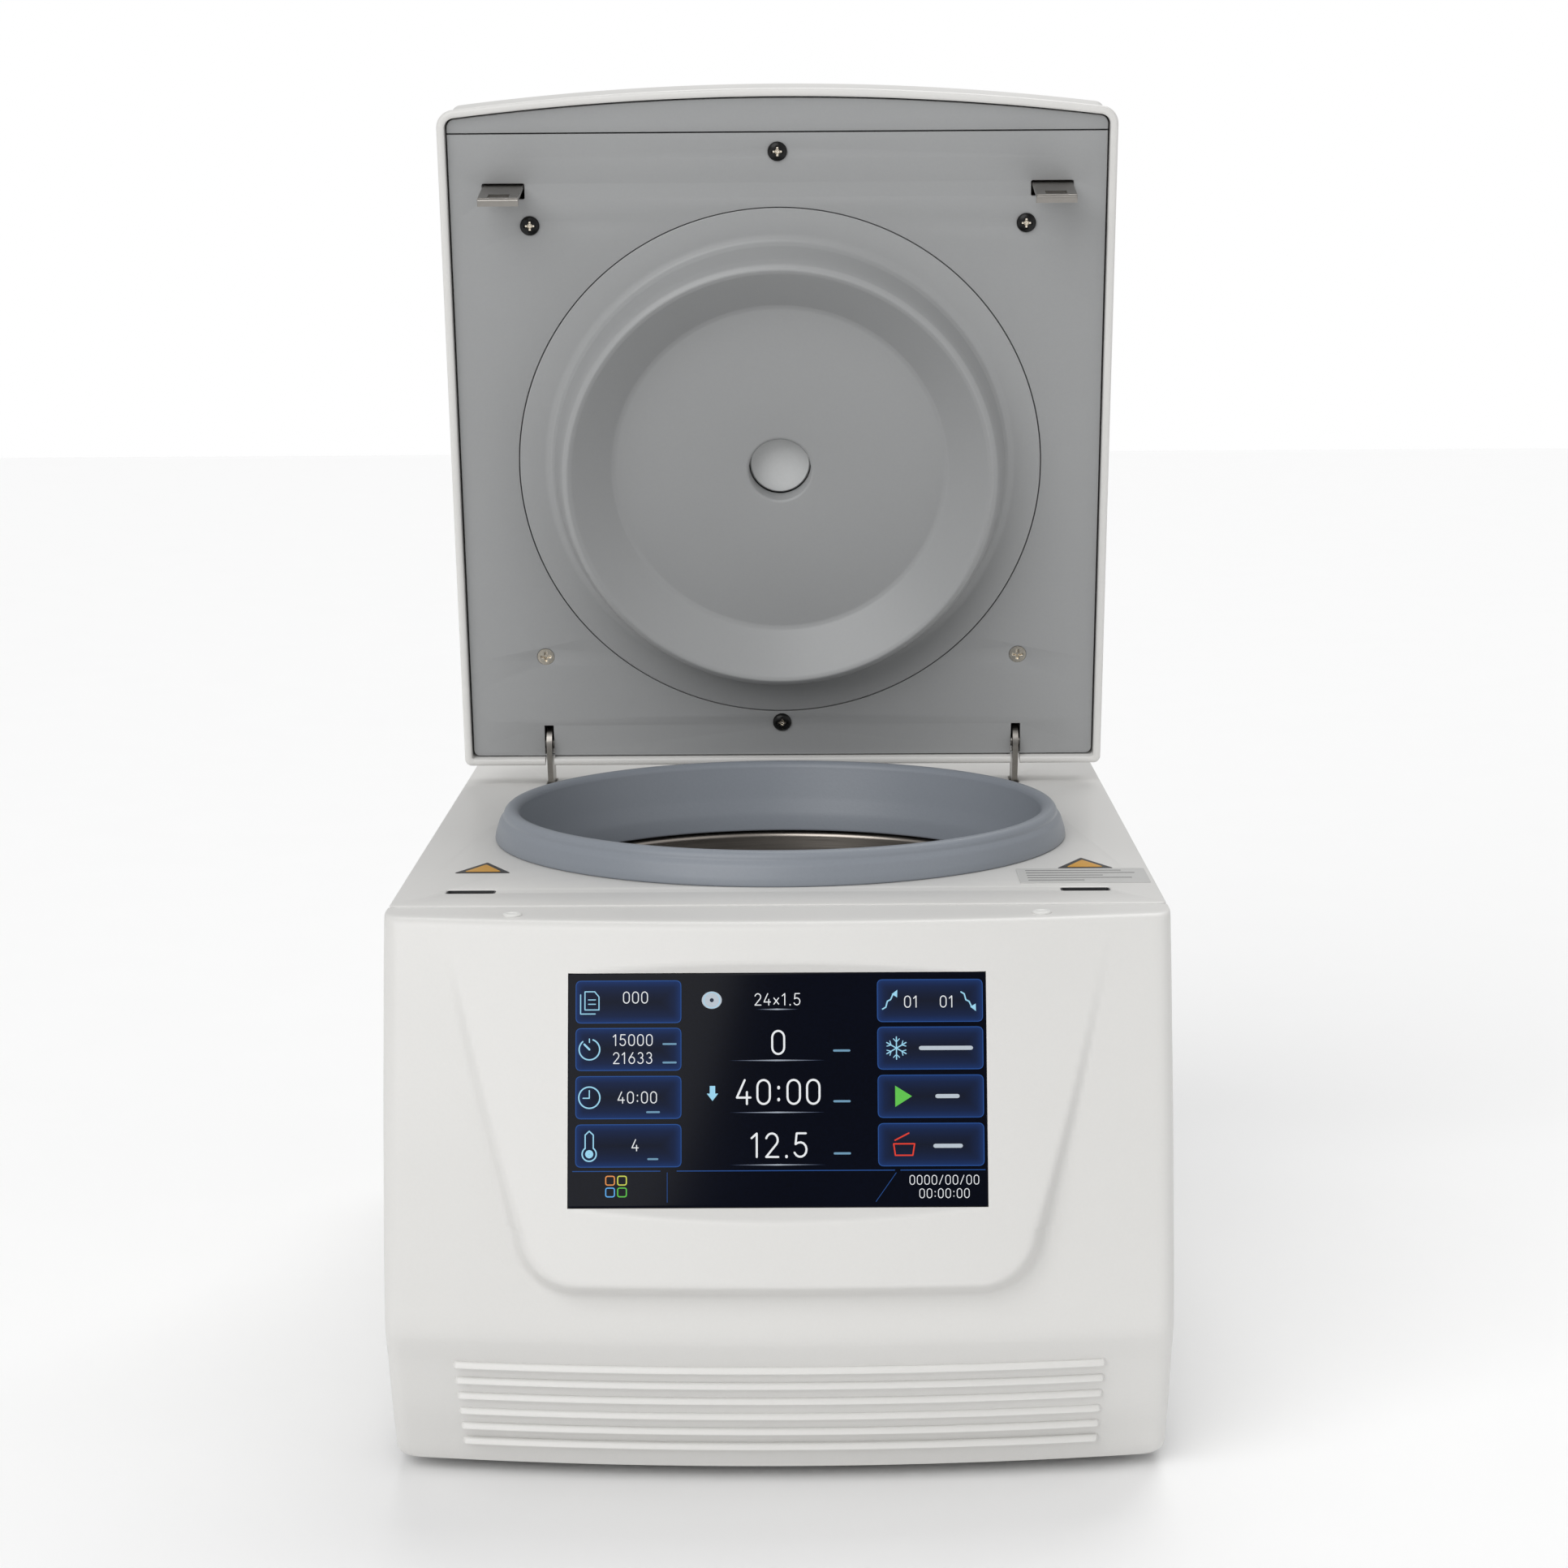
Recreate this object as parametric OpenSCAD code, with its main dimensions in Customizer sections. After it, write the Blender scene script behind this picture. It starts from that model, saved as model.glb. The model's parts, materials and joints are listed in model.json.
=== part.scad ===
// Refrigerated bench-top centrifuge with its lid standing open.
// Units are millimetres. +Z is up and the display faces -Y.

/* [Cabinet] */
// outside width of the cabinet
body_w = 295; // [285:1:305]
// height of the deck above the bench
deck_z = 217; // [212:1:224]
// depth from the deck's front edge to the back of the cabinet
body_back = 410; // [400:1:430]
// wall thickness of the moulded front cover
cover_t = 3.5; // [3:0.5:4]
// number of ribs low on the front cover
rib_count = 6; // [3:1:6]

/* [Rotor chamber] */
// distance of the chamber axis behind the deck's front edge
bowl_y = 154.5; // [152:0.5:157]
// number of tube places in the rotor
tube_places = 24; // [12:1:24]
// radius of one tube place
tube_r = 5.5; // [5:0.1:5.6]

/* [Lid] */
// width of the lid
lid_w = 293.4; // [285:0.2:295]
// length of the lid from its rear edge to the middle of its bowed front edge
lid_len = 310.3; // [306:0.1:312]
// thickness of the lid
lid_t = 36; // [34:1:40]
// angle between the closed lid and the open one
lid_open = 77.8; // [60:0.1:90]

/* [Display] */
// width of the visible screen
screen_w = 154.1; // [150:0.1:158]
// height of the visible screen
screen_h = 85.9; // [82:0.1:90]
// lean of the display from upright, in degrees
screen_lean = 16; // [14:0.5:18]

/* [Hidden] */
$fn = 96;
e = 0.01;
half = body_w / 2;
mid_y = 172.4;
bow_y = 846;
back = body_back;
lid_half = lid_w / 2;
lid_rear_y = bowl_y + 142.1;
lid_gap = 11;
hinge_y = 288.1;
hinge_z = deck_z + 19.2;
pin_s = lid_rear_y - hinge_y;
pin_w = hinge_z - deck_z - lid_gap;
bow_r = 876;
hook_x = 119;
arm_x = 107.4;
liner_w = 2.8;
liner_t = 1.6;
screen_y = -44.2;
screen_z = deck_z - 60.5;
fan_x = 65;
fan_z = 85;
blade_count = 7;
inlet_z = 174;

white = [0.88, 0.88, 0.86];
grey = [0.6, 0.61, 0.62];
blue = [0.5, 0.54, 0.6];
steel = [0.7, 0.7, 0.7];
dark = [0.15, 0.15, 0.16];
copper = [0.72, 0.45, 0.3];

module place() translate([0, -mid_y, 0]) children();

// a box given by its low and high corners
module box(a, b) translate(a) cube([b[0] - a[0], b[1] - a[1], b[2] - a[2]]);

// both sides of the middle plane
module pair() {
  children();
  mirror([1, 0, 0]) children();
}

// an outline in y and z, drawn across x
module across(x0, x1) translate([x0, 0, 0]) rotate([90, 0, 90]) linear_extrude(x1 - x0) children();

// a section in y and z, turned about the far upright axis that bows the front
module bowed(points) translate([0, bow_y, 0]) rotate([0, 0, -101.5]) rotate_extrude(angle = 23, $fn = 360)
  polygon([for (p = points) [bow_y - p[0], p[1]]]);

// a section in radius and height, turned about the chamber axis
module turned(points) translate([0, bowl_y, 0]) rotate_extrude() polygon(points);

// a rod between two points
module rod(a, b, r) {
  d = b - a;
  len = norm(d);
  turn = atan2(d[1], d[0]);
  tip = acos(d[2] / len);
  translate(a) rotate([0, tip, turn]) cylinder(r = r, h = len, $fn = 32);
}

// a bent pipe through a list of points
module pipe(path, r) {
  for (i = [0:len(path) - 2]) rod(path[i], path[i + 1], r);
  for (i = [1:len(path) - 2]) translate(path[i]) sphere(r = r, $fn = 32);
}

// ---- cabinet ----
module foot_spots() for (x = [-120, 120], y = [5, 395]) translate([x, y, 0]) children();

module base_plate() color(steel) difference() {
  union() {
    box([-half + 4.2, -8, 6], [half - 4.2, 1, 9]);
    box([-half + 2.2, 0.3, 6], [half - 2.2, back - 2.2, 9]);
    box([-half + 4.2, -8, 9], [half - 4.2, -6, 20]);
  }
  foot_spots() translate([0, 0, 5]) cylinder(r = 2.6, h = 5);
  for (x = [-60:15:60]) box([x - 3, 300, 5], [x + 3, 370, 10]);
}

module rubber_feet() color(dark) foot_spots() difference() {
  cylinder(r1 = 12, r2 = 14, h = 6);
  translate([0, 0, -e]) cylinder(r = 6, h = 3.5);
  translate([0, 0, 3]) cylinder(r = 2.7, h = 4);
}

module foot_screws() color(steel) foot_spots() difference() {
  union() {
    translate([0, 0, 1.2]) cylinder(r = 4.6, h = 2.29);
    translate([0, 0, 3.4]) cylinder(r = 2.5, h = 5.5);
  }
  translate([0, 0, 1]) cylinder(r = 2, h = 1.4, $fn = 6);
}

front_out = [[20, deck_z - 0.4], [-27.5, deck_z - 0.4], [-29.8, deck_z - 1.2], [-31, deck_z - 3],
  [-43.6, deck_z - 55], [-48.4, deck_z - 78], [-52, deck_z - 99], [-56.3, deck_z - 126],
  [-58, deck_z - 142], [-58.3, deck_z - 149], [-57.6, deck_z - 154], [-55.4, deck_z - 159],
  [-52.3, deck_z - 165], [-47.6, deck_z - 176], [-42.9, deck_z - 187.5], [-36.8, deck_z - 199.4],
  [-33.4, deck_z - 206.5], [-30.5, 6], [20, 6]];
front_in = [for (p = front_out) [p[0] + (p[0] > 0 ? 10 : cover_t), min(deck_z - 4, p[1])]];
plateau_out = [[-22, deck_z - 0.8], [-31, deck_z - 2.6], [-67.4, deck_z - 128.5], [-67.1, deck_z - 130],
  [-56.5, deck_z - 137.5], [-45, deck_z - 137.5]];

// the tapering shield that carries the display, seen from the front
module shield_shape() {
  polygon([[-126, deck_z], [126, deck_z], [99.5, deck_z - 116.7], [74.1, deck_z - 137],
    [-74.1, deck_z - 137], [-99.5, deck_z - 116.7]]);
  for (x = [-74.1, 74.1]) translate([x, deck_z - 111]) circle(r = 26);
}

// places a child on the leaning display plane: x right, y into the cabinet, z up the plane
module on_display() translate([0, screen_y, screen_z]) rotate([-screen_lean, 0, 0]) children();

module rib_at(i) {
  z = deck_z - 165.6 - 7 * i;
  y = -52 + 0.43 * 7 * i;
  x = 122 - 0.3 * i;
  intersection() {
    bowed([[y + 1.5, z + 1.3], [y - 1.9, z + 1.1], [y - 2.3, z + 0.4], [y - 2, z - 1], [y + 1.5, z - 1.3]]);
    box([-x, -90, 0], [x, 0, 80]);
  }
}

module front_cover() color(white) difference() {
  union() {
    intersection() {
      bowed(front_out);
      box([-half, -90, 6], [half, 0, deck_z]);
    }
    intersection() {
      bowed(plateau_out);
      translate([0, -10, 0]) rotate([90, 0, 0]) linear_extrude(80) shield_shape();
    }
    for (i = [0:rib_count - 1]) rib_at(i);
  }
  intersection() {
    bowed(front_in);
    box([-half + cover_t, -90, 0], [half - cover_t, 5, deck_z - 4]);
  }
  on_display() box([-screen_w / 2 - 0.25, -12, -screen_h / 2 - 0.25], [screen_w / 2 + 0.25, 20, screen_h / 2 + 0.25]);
  on_display() box([-79.5, 2.5, -47], [79.5, 20, 47]);
  for (x = [-99, 99]) translate([x, -15.7, deck_z - 3]) cylinder(r = 1.5, h = 5);
}

module pad_buttons() color(white) for (x = [-99, 99]) translate([x, -15.7, deck_z - 0.4]) difference() {
  union() {
    cylinder(r = 3.7, h = 1);
    translate([0, 0, -2.5]) cylinder(r = 1.45, h = 2.6);
  }
  translate([0, 0, 0.5]) cylinder(r = 1.6, h = 1);
}

module top_cover() color(white) difference() {
  union() {
    box([-half, 0.3, deck_z - 3], [half, back, deck_z]);
    translate([0, bowl_y, deck_z - 6]) cylinder(r = 128, h = 3.5);
  }
  translate([0, bowl_y, deck_z - 10]) cylinder(r = 115, h = 20);
  pair() box([hook_x - 9.5, 25.3, deck_z - 5], [hook_x + 9.5, 32.8, deck_z + 5]);
  pair() box([arm_x - 1.9, 284.5, deck_z - 5], [arm_x + 1.9, 305.5, deck_z + 5]);
}

module vents(x0, x1, y0, y1, z0, count, pitch) for (i = [0:count - 1])
  box([x0, y0, z0 + i * pitch], [x1, y1, z0 + i * pitch + 4]);

module left_side_panel() color(white) difference() {
  box([-half, 0.3, 9], [-half + 2, back - 2.2, deck_z - 3.1]);
  vents(-half - 1, -half + 3, 310, 385, 40, 9, 9);
  for (y = [20, 390], z = [20, 200]) translate([-half - 1, y, z]) rotate([0, 90, 0]) cylinder(r = 1.7, h = 5);
}

module right_side_panel() color(white) difference() {
  box([half - 2, 0.3, 9], [half, back - 2.2, deck_z - 3.1]);
  vents(half - 3, half + 1, 310, 385, 40, 9, 9);
  for (y = [20, 390], z = [20, 200]) translate([half - 4, y, z]) rotate([0, 90, 0]) cylinder(r = 1.7, h = 5);
}

rear_screws = [[-135, 20], [0, 20], [135, 20], [-135, 200], [0, 200], [135, 200]];

module rear_panel() color(white) difference() {
  box([-half, back - 2, 6], [half, back, deck_z - 3.1]);
  vents(10, 120, back - 5, back + 5, 34, 12, 9);
  box([-118, back - 5, inlet_z - 14], [-90, back + 5, inlet_z + 14]);
  box([-76, back - 5, inlet_z - 11], [-49, back + 5, inlet_z + 11]);
  for (p = rear_screws) translate([p[0], back - 5, p[1]]) rotate([-90, 0, 0]) cylinder(r = 1.7, h = 10);
}

module small_screw() {
  cylinder(r = 3.4, h = 1.4);
  translate([0, 0, -4]) cylinder(r = 1.6, h = 4.1);
}

module panel_screws() color(steel) {
  for (p = rear_screws) translate([p[0], back, p[1]]) rotate([-90, 0, 0]) small_screw();
}

module warning_triangles() color([0.85, 0.6, 0.1]) {
  translate([-118.2, 66.8, deck_z]) linear_extrude(0.3) polygon([[-11.2, 0], [11.2, 0], [0, 22.5]]);
  translate([122.4, 70.7, deck_z]) linear_extrude(0.3) polygon([[-11.2, 0], [11.2, 0], [0, 22.5]]);
}

module grey_label() color(grey) box([94.5, 40, deck_z], [145.5, 69.5, deck_z + 0.3]);

// ---- chamber ----
module bowl_gasket() color(blue) translate([0, bowl_y, deck_z]) rotate_extrude() {
  polygon([[120.6, 0], [120.2, 3], [118.6, 8], [116.8, 10.6], [110.3, 10.6], [109.2, 6], [107.4, -3],
    [105.6, -10], [104.6, -17.5], [107.6, -17.5], [109, -10], [111.5, -4], [114.8, -4], [114.8, 0]]);
  translate([113.5, 10]) circle(r = 3.5, $fn = 48);
}

module bowl_wall() color(steel) turned([[126.4, deck_z - 6], [126.4, deck_z - 7.5], [113.4, deck_z - 7.5],
  [113.4, deck_z - 18], [105.7, deck_z - 20], [105.7, 108], [104.2, 108], [104.2, deck_z - 18.7],
  [111.9, deck_z - 16.7], [111.9, deck_z - 6]]);

module bowl_floor() color(steel) turned([[105.7, 108], [102, 99], [93, 95.4], [24, 95.4], [24, 97], [92.5, 97],
  [101, 100.2], [104.2, 108]]);

module bowl_insulation() color([0.9, 0.85, 0.6]) difference() {
  turned([[30, 88], [127.6, 88], [127.6, 196], [113.9, 196], [113.9, 95.2], [30, 95.2]]);
  translate([60, bowl_y + 20, 80]) cylinder(r = 2.5, h = 20);
}

module evaporator_coil() color(copper) {
  for (i = [0:5]) translate([0, bowl_y, 112 + 14 * i]) rotate_extrude() translate([109.6, 0]) circle(r = 3.6, $fn = 32);
  translate([0, bowl_y + 109.6, 112]) cylinder(r = 3.6, h = 70, $fn = 32);
}

module guard_ring() color(steel) difference() {
  turned([[128, 9], [132.5, 9], [132.5, 205], [128, 205]]);
  translate([0, 220, 100]) rotate([-90, 0, 0]) cylinder(r = 8, h = 80);
}

module temperature_probe() color(steel) translate([60, bowl_y + 20, 0]) {
  translate([0, 0, 88.5]) cylinder(r = 2.4, h = 6.7);
}

module shaft_seal() color(dark) turned([[6.6, 89], [8.6, 89], [9.6, 93], [23.6, 93], [23.6, 98.2], [27, 98.2],
  [27, 99.6], [20, 99.6], [9, 103], [6.6, 103]]);

// ---- drive ----
module motor_body() color(steel) turned([[13.05, 28], [46, 28], [46, 79.9], [42, 79.9], [42, 32], [18, 32], [18, 37],
  [13.05, 37]]);

module motor_cap() color(steel) turned([[13.05, 78], [18, 78], [18, 80], [46, 80], [46, 84], [20, 87], [10, 87],
  [10, 85.2], [13.05, 85.2]]);

module motor_stator() color([0.3, 0.3, 0.32]) turned([[30.5, 42], [41.9, 42], [41.9, 72], [30.5, 72]]);

module shaft_bearings() color(steel) {
  turned([[6.06, 29], [13, 29], [13, 36], [6.06, 36]]);
  turned([[6.06, 78], [13, 78], [13, 85], [6.06, 85]]);
}

module motor_plate() color(steel) difference() {
  translate([0, bowl_y, 24]) cylinder(r = 82, h = 4);
  translate([0, bowl_y, 20]) cylinder(r = 12, h = 10);
}

module motor_dampers() color(dark) for (a = [90, 210, 330]) translate([0, bowl_y, 0]) rotate([0, 0, a])
  translate([66, 0, 9]) {
    cylinder(r = 11, h = 5);
    translate([0, 0, 5]) cylinder(r = 8, h = 5);
    translate([0, 0, 10]) cylinder(r = 11, h = 5);
  }

module drive_shaft() color(steel) turned([[0, 29.5], [6, 29.5], [6, 124], [0, 124]]);

module motor_core() color([0.4, 0.4, 0.42]) turned([[6.05, 44], [29.8, 44], [29.8, 70], [6.05, 70]]);

module drive_hub() color(steel) turned([[6.05, 104], [16, 104], [16, 108.5], [12, 110], [11, 126], [6.05, 128]]);

// ---- rotor ----
module rotor_body() color([0.35, 0.36, 0.38]) translate([0, bowl_y, 0]) difference() {
  rotate_extrude() polygon([[16.2, 106], [60, 106], [93, 114], [94.5, 128], [78, 158], [72, 160], [66, 158],
    [40, 136], [14, 136], [11.6, 127.6], [12.3, 110.6], [16.2, 109.2]]);
  for (i = [0:tube_places - 1]) rotate([0, 0, i * 360 / tube_places]) translate([52, 0, 161]) rotate([0, 135, 0])
    cylinder(r = tube_r, h = 49, $fn = 32);
}

module rotor_cover() color([0.2, 0.2, 0.22]) turned([[6.4, 163], [68, 160.6], [68, 160.1], [74, 160.1], [72, 163.5],
  [40, 167], [6.4, 168]]);

module rotor_knob() color(dark) translate([0, bowl_y, 0]) {
  translate([0, 0, 130.5]) cylinder(r = 6, h = 39);
  difference() {
    translate([0, 0, 168.4]) cylinder(r1 = 18, r2 = 16, h = 16);
    for (i = [0:7]) rotate([0, 0, i * 45]) translate([20, 0, 168]) cylinder(r = 4.5, h = 20, $fn = 32);
  }
}

// ---- refrigeration ----
comp = [-72, 352];

module compressor() color(dark) translate([comp[0], comp[1], 0]) {
  rotate_extrude() polygon([[0, 21], [38, 21], [46, 28], [46, 96], [47.5, 96], [47.5, 100], [46, 100], [46, 128],
    [40, 140], [24, 147], [0, 149]]);
  for (a = [30, 150, 270]) rotate([0, 0, a]) {
    difference() {
      box([0, -11, 18.1], [60, 11, 21.1]);
      translate([52, 0, 17]) cylinder(r = 3.2, h = 6);
    }
  }
}

module compressor_mounts() color(dark) for (a = [30, 150, 270]) translate([comp[0], comp[1], 0]) rotate([0, 0, a])
  translate([52, 0, 9]) {
    cylinder(r = 9, h = 9);
    translate([0, 0, 8]) cylinder(r = 3, h = 6);
  }

module condenser() color(steel) {
  for (x = [5:4:125]) box([x, 374, 22], [x + 0.8, 402, 150]);
  for (z = [30:16:142], y = [381, 395]) rod([4, y, z], [127, y, z], 3.6);
  box([5, 374, 150], [125.8, 402, 151.5]);
  box([5, 374, 20.5], [125.8, 402, 22]);
}

module fan_frame() color(dark) translate([fan_x, 346, fan_z]) rotate([-90, 0, 0]) {
  difference() {
    translate([-60, -60, 0]) cube([120, 120, 25]);
    translate([0, 0, -1]) cylinder(r = 57, h = 30);
    for (x = [-53, 53], y = [-53, 53]) translate([x, y, -1]) cylinder(r = 2.2, h = 30);
  }
  difference() {
    union() {
      cylinder(r = 20, h = 4);
      for (a = [45:90:315]) rotate([0, 0, a]) translate([15, -3, 0]) cube([43, 6, 3]);
    }
    translate([0, 0, 2]) cylinder(r = 2.2, h = 4);
  }
}

module fan_blades() color([0.1, 0.1, 0.1]) translate([fan_x, 346, fan_z]) rotate([-90, 0, 0]) {
  translate([0, 0, 4.6]) cylinder(r = 20, h = 18);
  translate([0, 0, 2.4]) cylinder(r = 2, h = 3);
  intersection() {
    for (a = [0:360 / blade_count:359]) rotate([0, 0, a]) translate([0, 0, 13.5]) rotate([38, 0, 0])
      translate([17, -10.5, -0.8]) cube([40, 21, 1.6]);
    translate([0, 0, 4.6]) cylinder(r = 54.5, h = 18);
  }
}

module filter_drier() color(copper) translate([-5, 330, 0]) {
  translate([0, 0, 60]) cylinder(r = 9, h = 50);
  translate([0, 0, 110]) cylinder(r1 = 9, r2 = 3, h = 8);
  translate([0, 0, 52]) cylinder(r1 = 3, r2 = 9, h = 8);
}

module refrigerant_pipes() color(copper) {
  pipe([[-25.8, 352, 118], [-12, 352, 118], [-12, 388, 118], [4.6, 388, 118]], 3);
  pipe([[4.6, 388, 38], [-5, 388, 38], [-5, 330, 38], [-5, 330, 51.8]], 3);
  pipe([[-5, 330, 118.2], [-5, 330, 130], [-5, 296, 130]], 1.2);
  pipe([[-72, 305.8, 60], [-72, 298, 60], [-40, 298, 60], [-40, 298, 100], [0, 298, 100], [0, 288, 100]], 3.2);
}

// ---- lid lock and hinge, cabinet side ----
module lock_guides() color(steel) pair() {
  box([60, 5, deck_z - 17], [76, 34, deck_z - 12.3]);
  box([60, 5, deck_z - 12.3], [76, 9, deck_z - 3]);
  box([60, 28, deck_z - 12.3], [76, 34, deck_z - 3]);
}

module lock_motor() color(dark) {
  box([-22, -14, deck_z - 34], [22, 11.4, deck_z - 4.1]);
  box([-30, -4, deck_z - 6], [30, 8, deck_z - 4.1]);
  translate([0, -1, deck_z - 52]) cylinder(r = 12, h = 18);
}

module lock_bar() color(steel) {
  box([-124, 12, deck_z - 12], [124, 18, deck_z - 5]);
  pair() box([hook_x - 3.5, 17.9, deck_z - 10.5], [hook_x + 3.5, 24.8, deck_z - 6.5]);
}

// a fixed plate on each side, with the hinge pin riveted through it
module hinge_brackets() color(steel) pair() {
  across(arm_x - 1.25, arm_x + 1.25) union() {
    translate([hinge_y, hinge_z]) circle(r = 8.5);
    polygon([[hinge_y - 7.8, hinge_z - 3.4], [hinge_y + 7.6, hinge_z + 3.8], [304, deck_z], [304, deck_z - 32],
      [286.5, deck_z - 32], [286.5, deck_z - 2]]);
  }
  box([arm_x - 1.25, 286.5, deck_z - 34.5], [arm_x + 25, 304, deck_z - 32]);
  translate([arm_x - 2.2, hinge_y, hinge_z]) rotate([0, 90, 0]) cylinder(r = 2.45, h = 14.6, $fn = 48);
}

// ---- electrics ----
module power_inlet() color(dark) difference() {
  union() {
    box([-117.8, back - 22, inlet_z - 13.8], [-90.2, back, inlet_z + 13.8]);
    box([-121, back, inlet_z - 17], [-87, back + 2, inlet_z + 17]);
  }
  box([-114.5, back - 16, inlet_z - 10], [-93.5, back + 5, inlet_z + 10]);
}

module switch_frame() color(dark) difference() {
  union() {
    box([-75.8, back - 18, inlet_z - 10.8], [-49.2, back, inlet_z + 10.8]);
    box([-78, back, inlet_z - 13], [-47, back + 1.5, inlet_z + 13]);
  }
  box([-73, back - 12, inlet_z - 8], [-52, back + 5, inlet_z + 8]);
  across(-77, -51.9) translate([back - 6, inlet_z]) circle(r = 1.6, $fn = 48);
}

module power_rocker() color([0.6, 0.1, 0.1]) translate([-62.5, back - 6, inlet_z]) rotate([-7, 0, 0]) {
  across(-9.6, 9.6) polygon([[-3, -3.5], [3.2, -7.2], [6, -7.2], [4.6, 0], [6, 7.2], [3.2, 7.2], [-3, 3.5]]);
  translate([-12.4, 0, 0]) rotate([0, 90, 0]) cylinder(r = 1.5, h = 22.4, $fn = 48);
}

module control_board() color([0.05, 0.3, 0.15]) on_display() {
  box([-62, 17, -38], [62, 18.6, 38]);
  box([-30, 18.6, -15], [-10, 21, 5]);
  box([10, 18.6, -20], [45, 27, -8]);
  for (x = [-56, 56], z = [-32, 32]) translate([x, 10.2, z]) rotate([-90, 0, 0]) cylinder(r = 2.5, h = 6.8);
}

module display_module() color(dark) on_display() difference() {
  box([-78, 2.6, -45], [78, 10.2, 45]);
  box([-60, 9, -30], [60, 12, 30]);
}

module touch_glass() color([0.03, 0.04, 0.08]) on_display()
  box([-screen_w / 2, 0, -screen_h / 2], [screen_w / 2, 1.5, screen_h / 2]);

module power_supply() color(steel) difference() {
  box([-139, -4, 9], [-90, 50, 110]);
  for (z = [20:8:100]) box([-132, -6, z], [-97, -3, z + 3]);
}

module motor_drive() color([0.5, 0.5, 0.52]) {
  box([90, -4, 9], [139, 2, 110]);
  for (x = [91:6:139]) box([x, 1.9, 9], [x + 2, 40, 110]);
}

// ---- lid, drawn closed and then swung open ----
module lid_place() translate([0, hinge_y, hinge_z]) rotate([-lid_open, 0, 0]) translate([0, -hinge_y, -hinge_z])
  translate([0, lid_rear_y, deck_z + lid_gap]) mirror([0, 1, 0]) children();

// outline of the lid, seen flat: x across, y forward from its rear edge
module lid_outline(inset) {
  r = max(1.5, 8 - inset);
  rb = bow_r - inset;
  cy = lid_len - bow_r;
  cx = lid_half - inset - r;
  sy = cy + sqrt((rb - r) * (rb - r) - cx * cx);
  translate([-lid_half + inset, inset]) square([2 * (lid_half - inset), sy - inset]);
  for (x = [-cx, cx]) translate([x, sy]) circle(r = r);
  intersection() {
    translate([0, cy]) circle(r = rb, $fn = 720);
    translate([-cx, sy - 20]) square([2 * cx, 60]);
  }
}

module lid_slab(inset, w0, w1) translate([0, 0, w0]) linear_extrude(w1 - w0) lid_outline(inset);

sight_s = 142.1;
screw_spots = [[0, 282.9], [108, 251.2], [-108, 251.2], [0, 20.3]];
nickel_spots = [[107.7, 52.6], [-107.7, 52.6]];

module lid_shell() color(white) lid_place() difference() {
  lid_slab(0, 0, lid_t);
  lid_slab(3.5, -1, lid_t - 3);
  pair() box([arm_x - 2.1, -1, -1], [arm_x + 2.1, 5, 20.5]);
  translate([0, sight_s, lid_t - 10]) cylinder(r = 13.7, h = 20);
}

module lid_liner() color(grey) lid_place() difference() {
  lid_slab(3.9, liner_w, liner_w + liner_t);
  translate([0, sight_s, 0]) cylinder(r = 116.5, h = 10);
  pair() box([arm_x - 2.1, 0, 0], [arm_x + 2.1, 19, 10]);
  pair() box([hook_x - 9.2, 262.8, 0], [hook_x + 9.2, 269.6, 10]);
  for (p = screw_spots) translate([p[0], p[1], 0]) cylinder(r = 2.1, h = 10);
  for (p = nickel_spots) translate([p[0], p[1], liner_w - 0.05]) cylinder(r1 = 4.05, r2 = 2.1, h = 2);
}

module lid_insert() color(grey) lid_place() translate([0, sight_s, 0]) rotate_extrude() polygon([[116.2, 2.8], [104.5, 2.8],
  [101.8, 1.8], [100.2, -1], [97.6, -14], [96.2, -18], [94, -19.7], [92, -18.9], [75, -4.1], [73, -3.5], [13.6, -3.5],
  [13.6, 8], [15.6, 8], [15.6, -1.5], [72.2, -1.5], [92.8, -16.4], [94.6, -13], [97, -1], [98.4, 4.4], [116.2, 4.4]]);

module lid_armour() color(steel) lid_place() difference() {
  union() {
    lid_slab(8, lid_t - 5.5, lid_t - 3);
    for (p = screw_spots) translate([p[0], p[1], liner_w + liner_t]) cylinder(r = 5, h = lid_t - 5.5 - liner_w - liner_t + e);
    for (p = nickel_spots) translate([p[0], p[1], liner_w + liner_t]) cylinder(r = 5, h = lid_t - 5.5 - liner_w - liner_t + e);
  }
  translate([0, sight_s, 0]) cylinder(r = 13.7, h = 60);
  for (p = concat(screw_spots, nickel_spots)) translate([p[0], p[1], 0]) cylinder(r = 2.05, h = 18);
}

module sight_glass() color([0.8, 0.82, 0.82]) lid_place() translate([0, sight_s, 8.1]) {
  cylinder(r = 13.5, h = lid_t - 8.1);
}

module lid_hooks() color(steel) lid_place() pair() difference() {
  union() {
    box([hook_x - 8.75, 267.4, -25.2], [hook_x + 8.75, 268.9, lid_t - 5.5]);
    box([hook_x - 8.75, 263.4, -25.2], [hook_x + 8.75, 267.5, -23.7]);
    box([hook_x - 8.75, 256, lid_t - 7], [hook_x + 8.75, 268.9, lid_t - 5.5]);
  }
  box([hook_x - 4.6, 262, -22.5], [hook_x + 4.6, 272, -16.3]);
}

module lid_screws_black() color(dark) lid_place() for (p = screw_spots) translate([p[0], p[1], liner_w]) difference() {
  union() {
    translate([0, 0, -2.2]) cylinder(r1 = 3.4, r2 = 4.2, h = 2.2);
    cylinder(r = 1.95, h = 13);
  }
  for (a = [0, 90]) rotate([0, 0, a]) box([-2.2, -0.45, -3], [2.2, 0.45, -1]);
}

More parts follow.
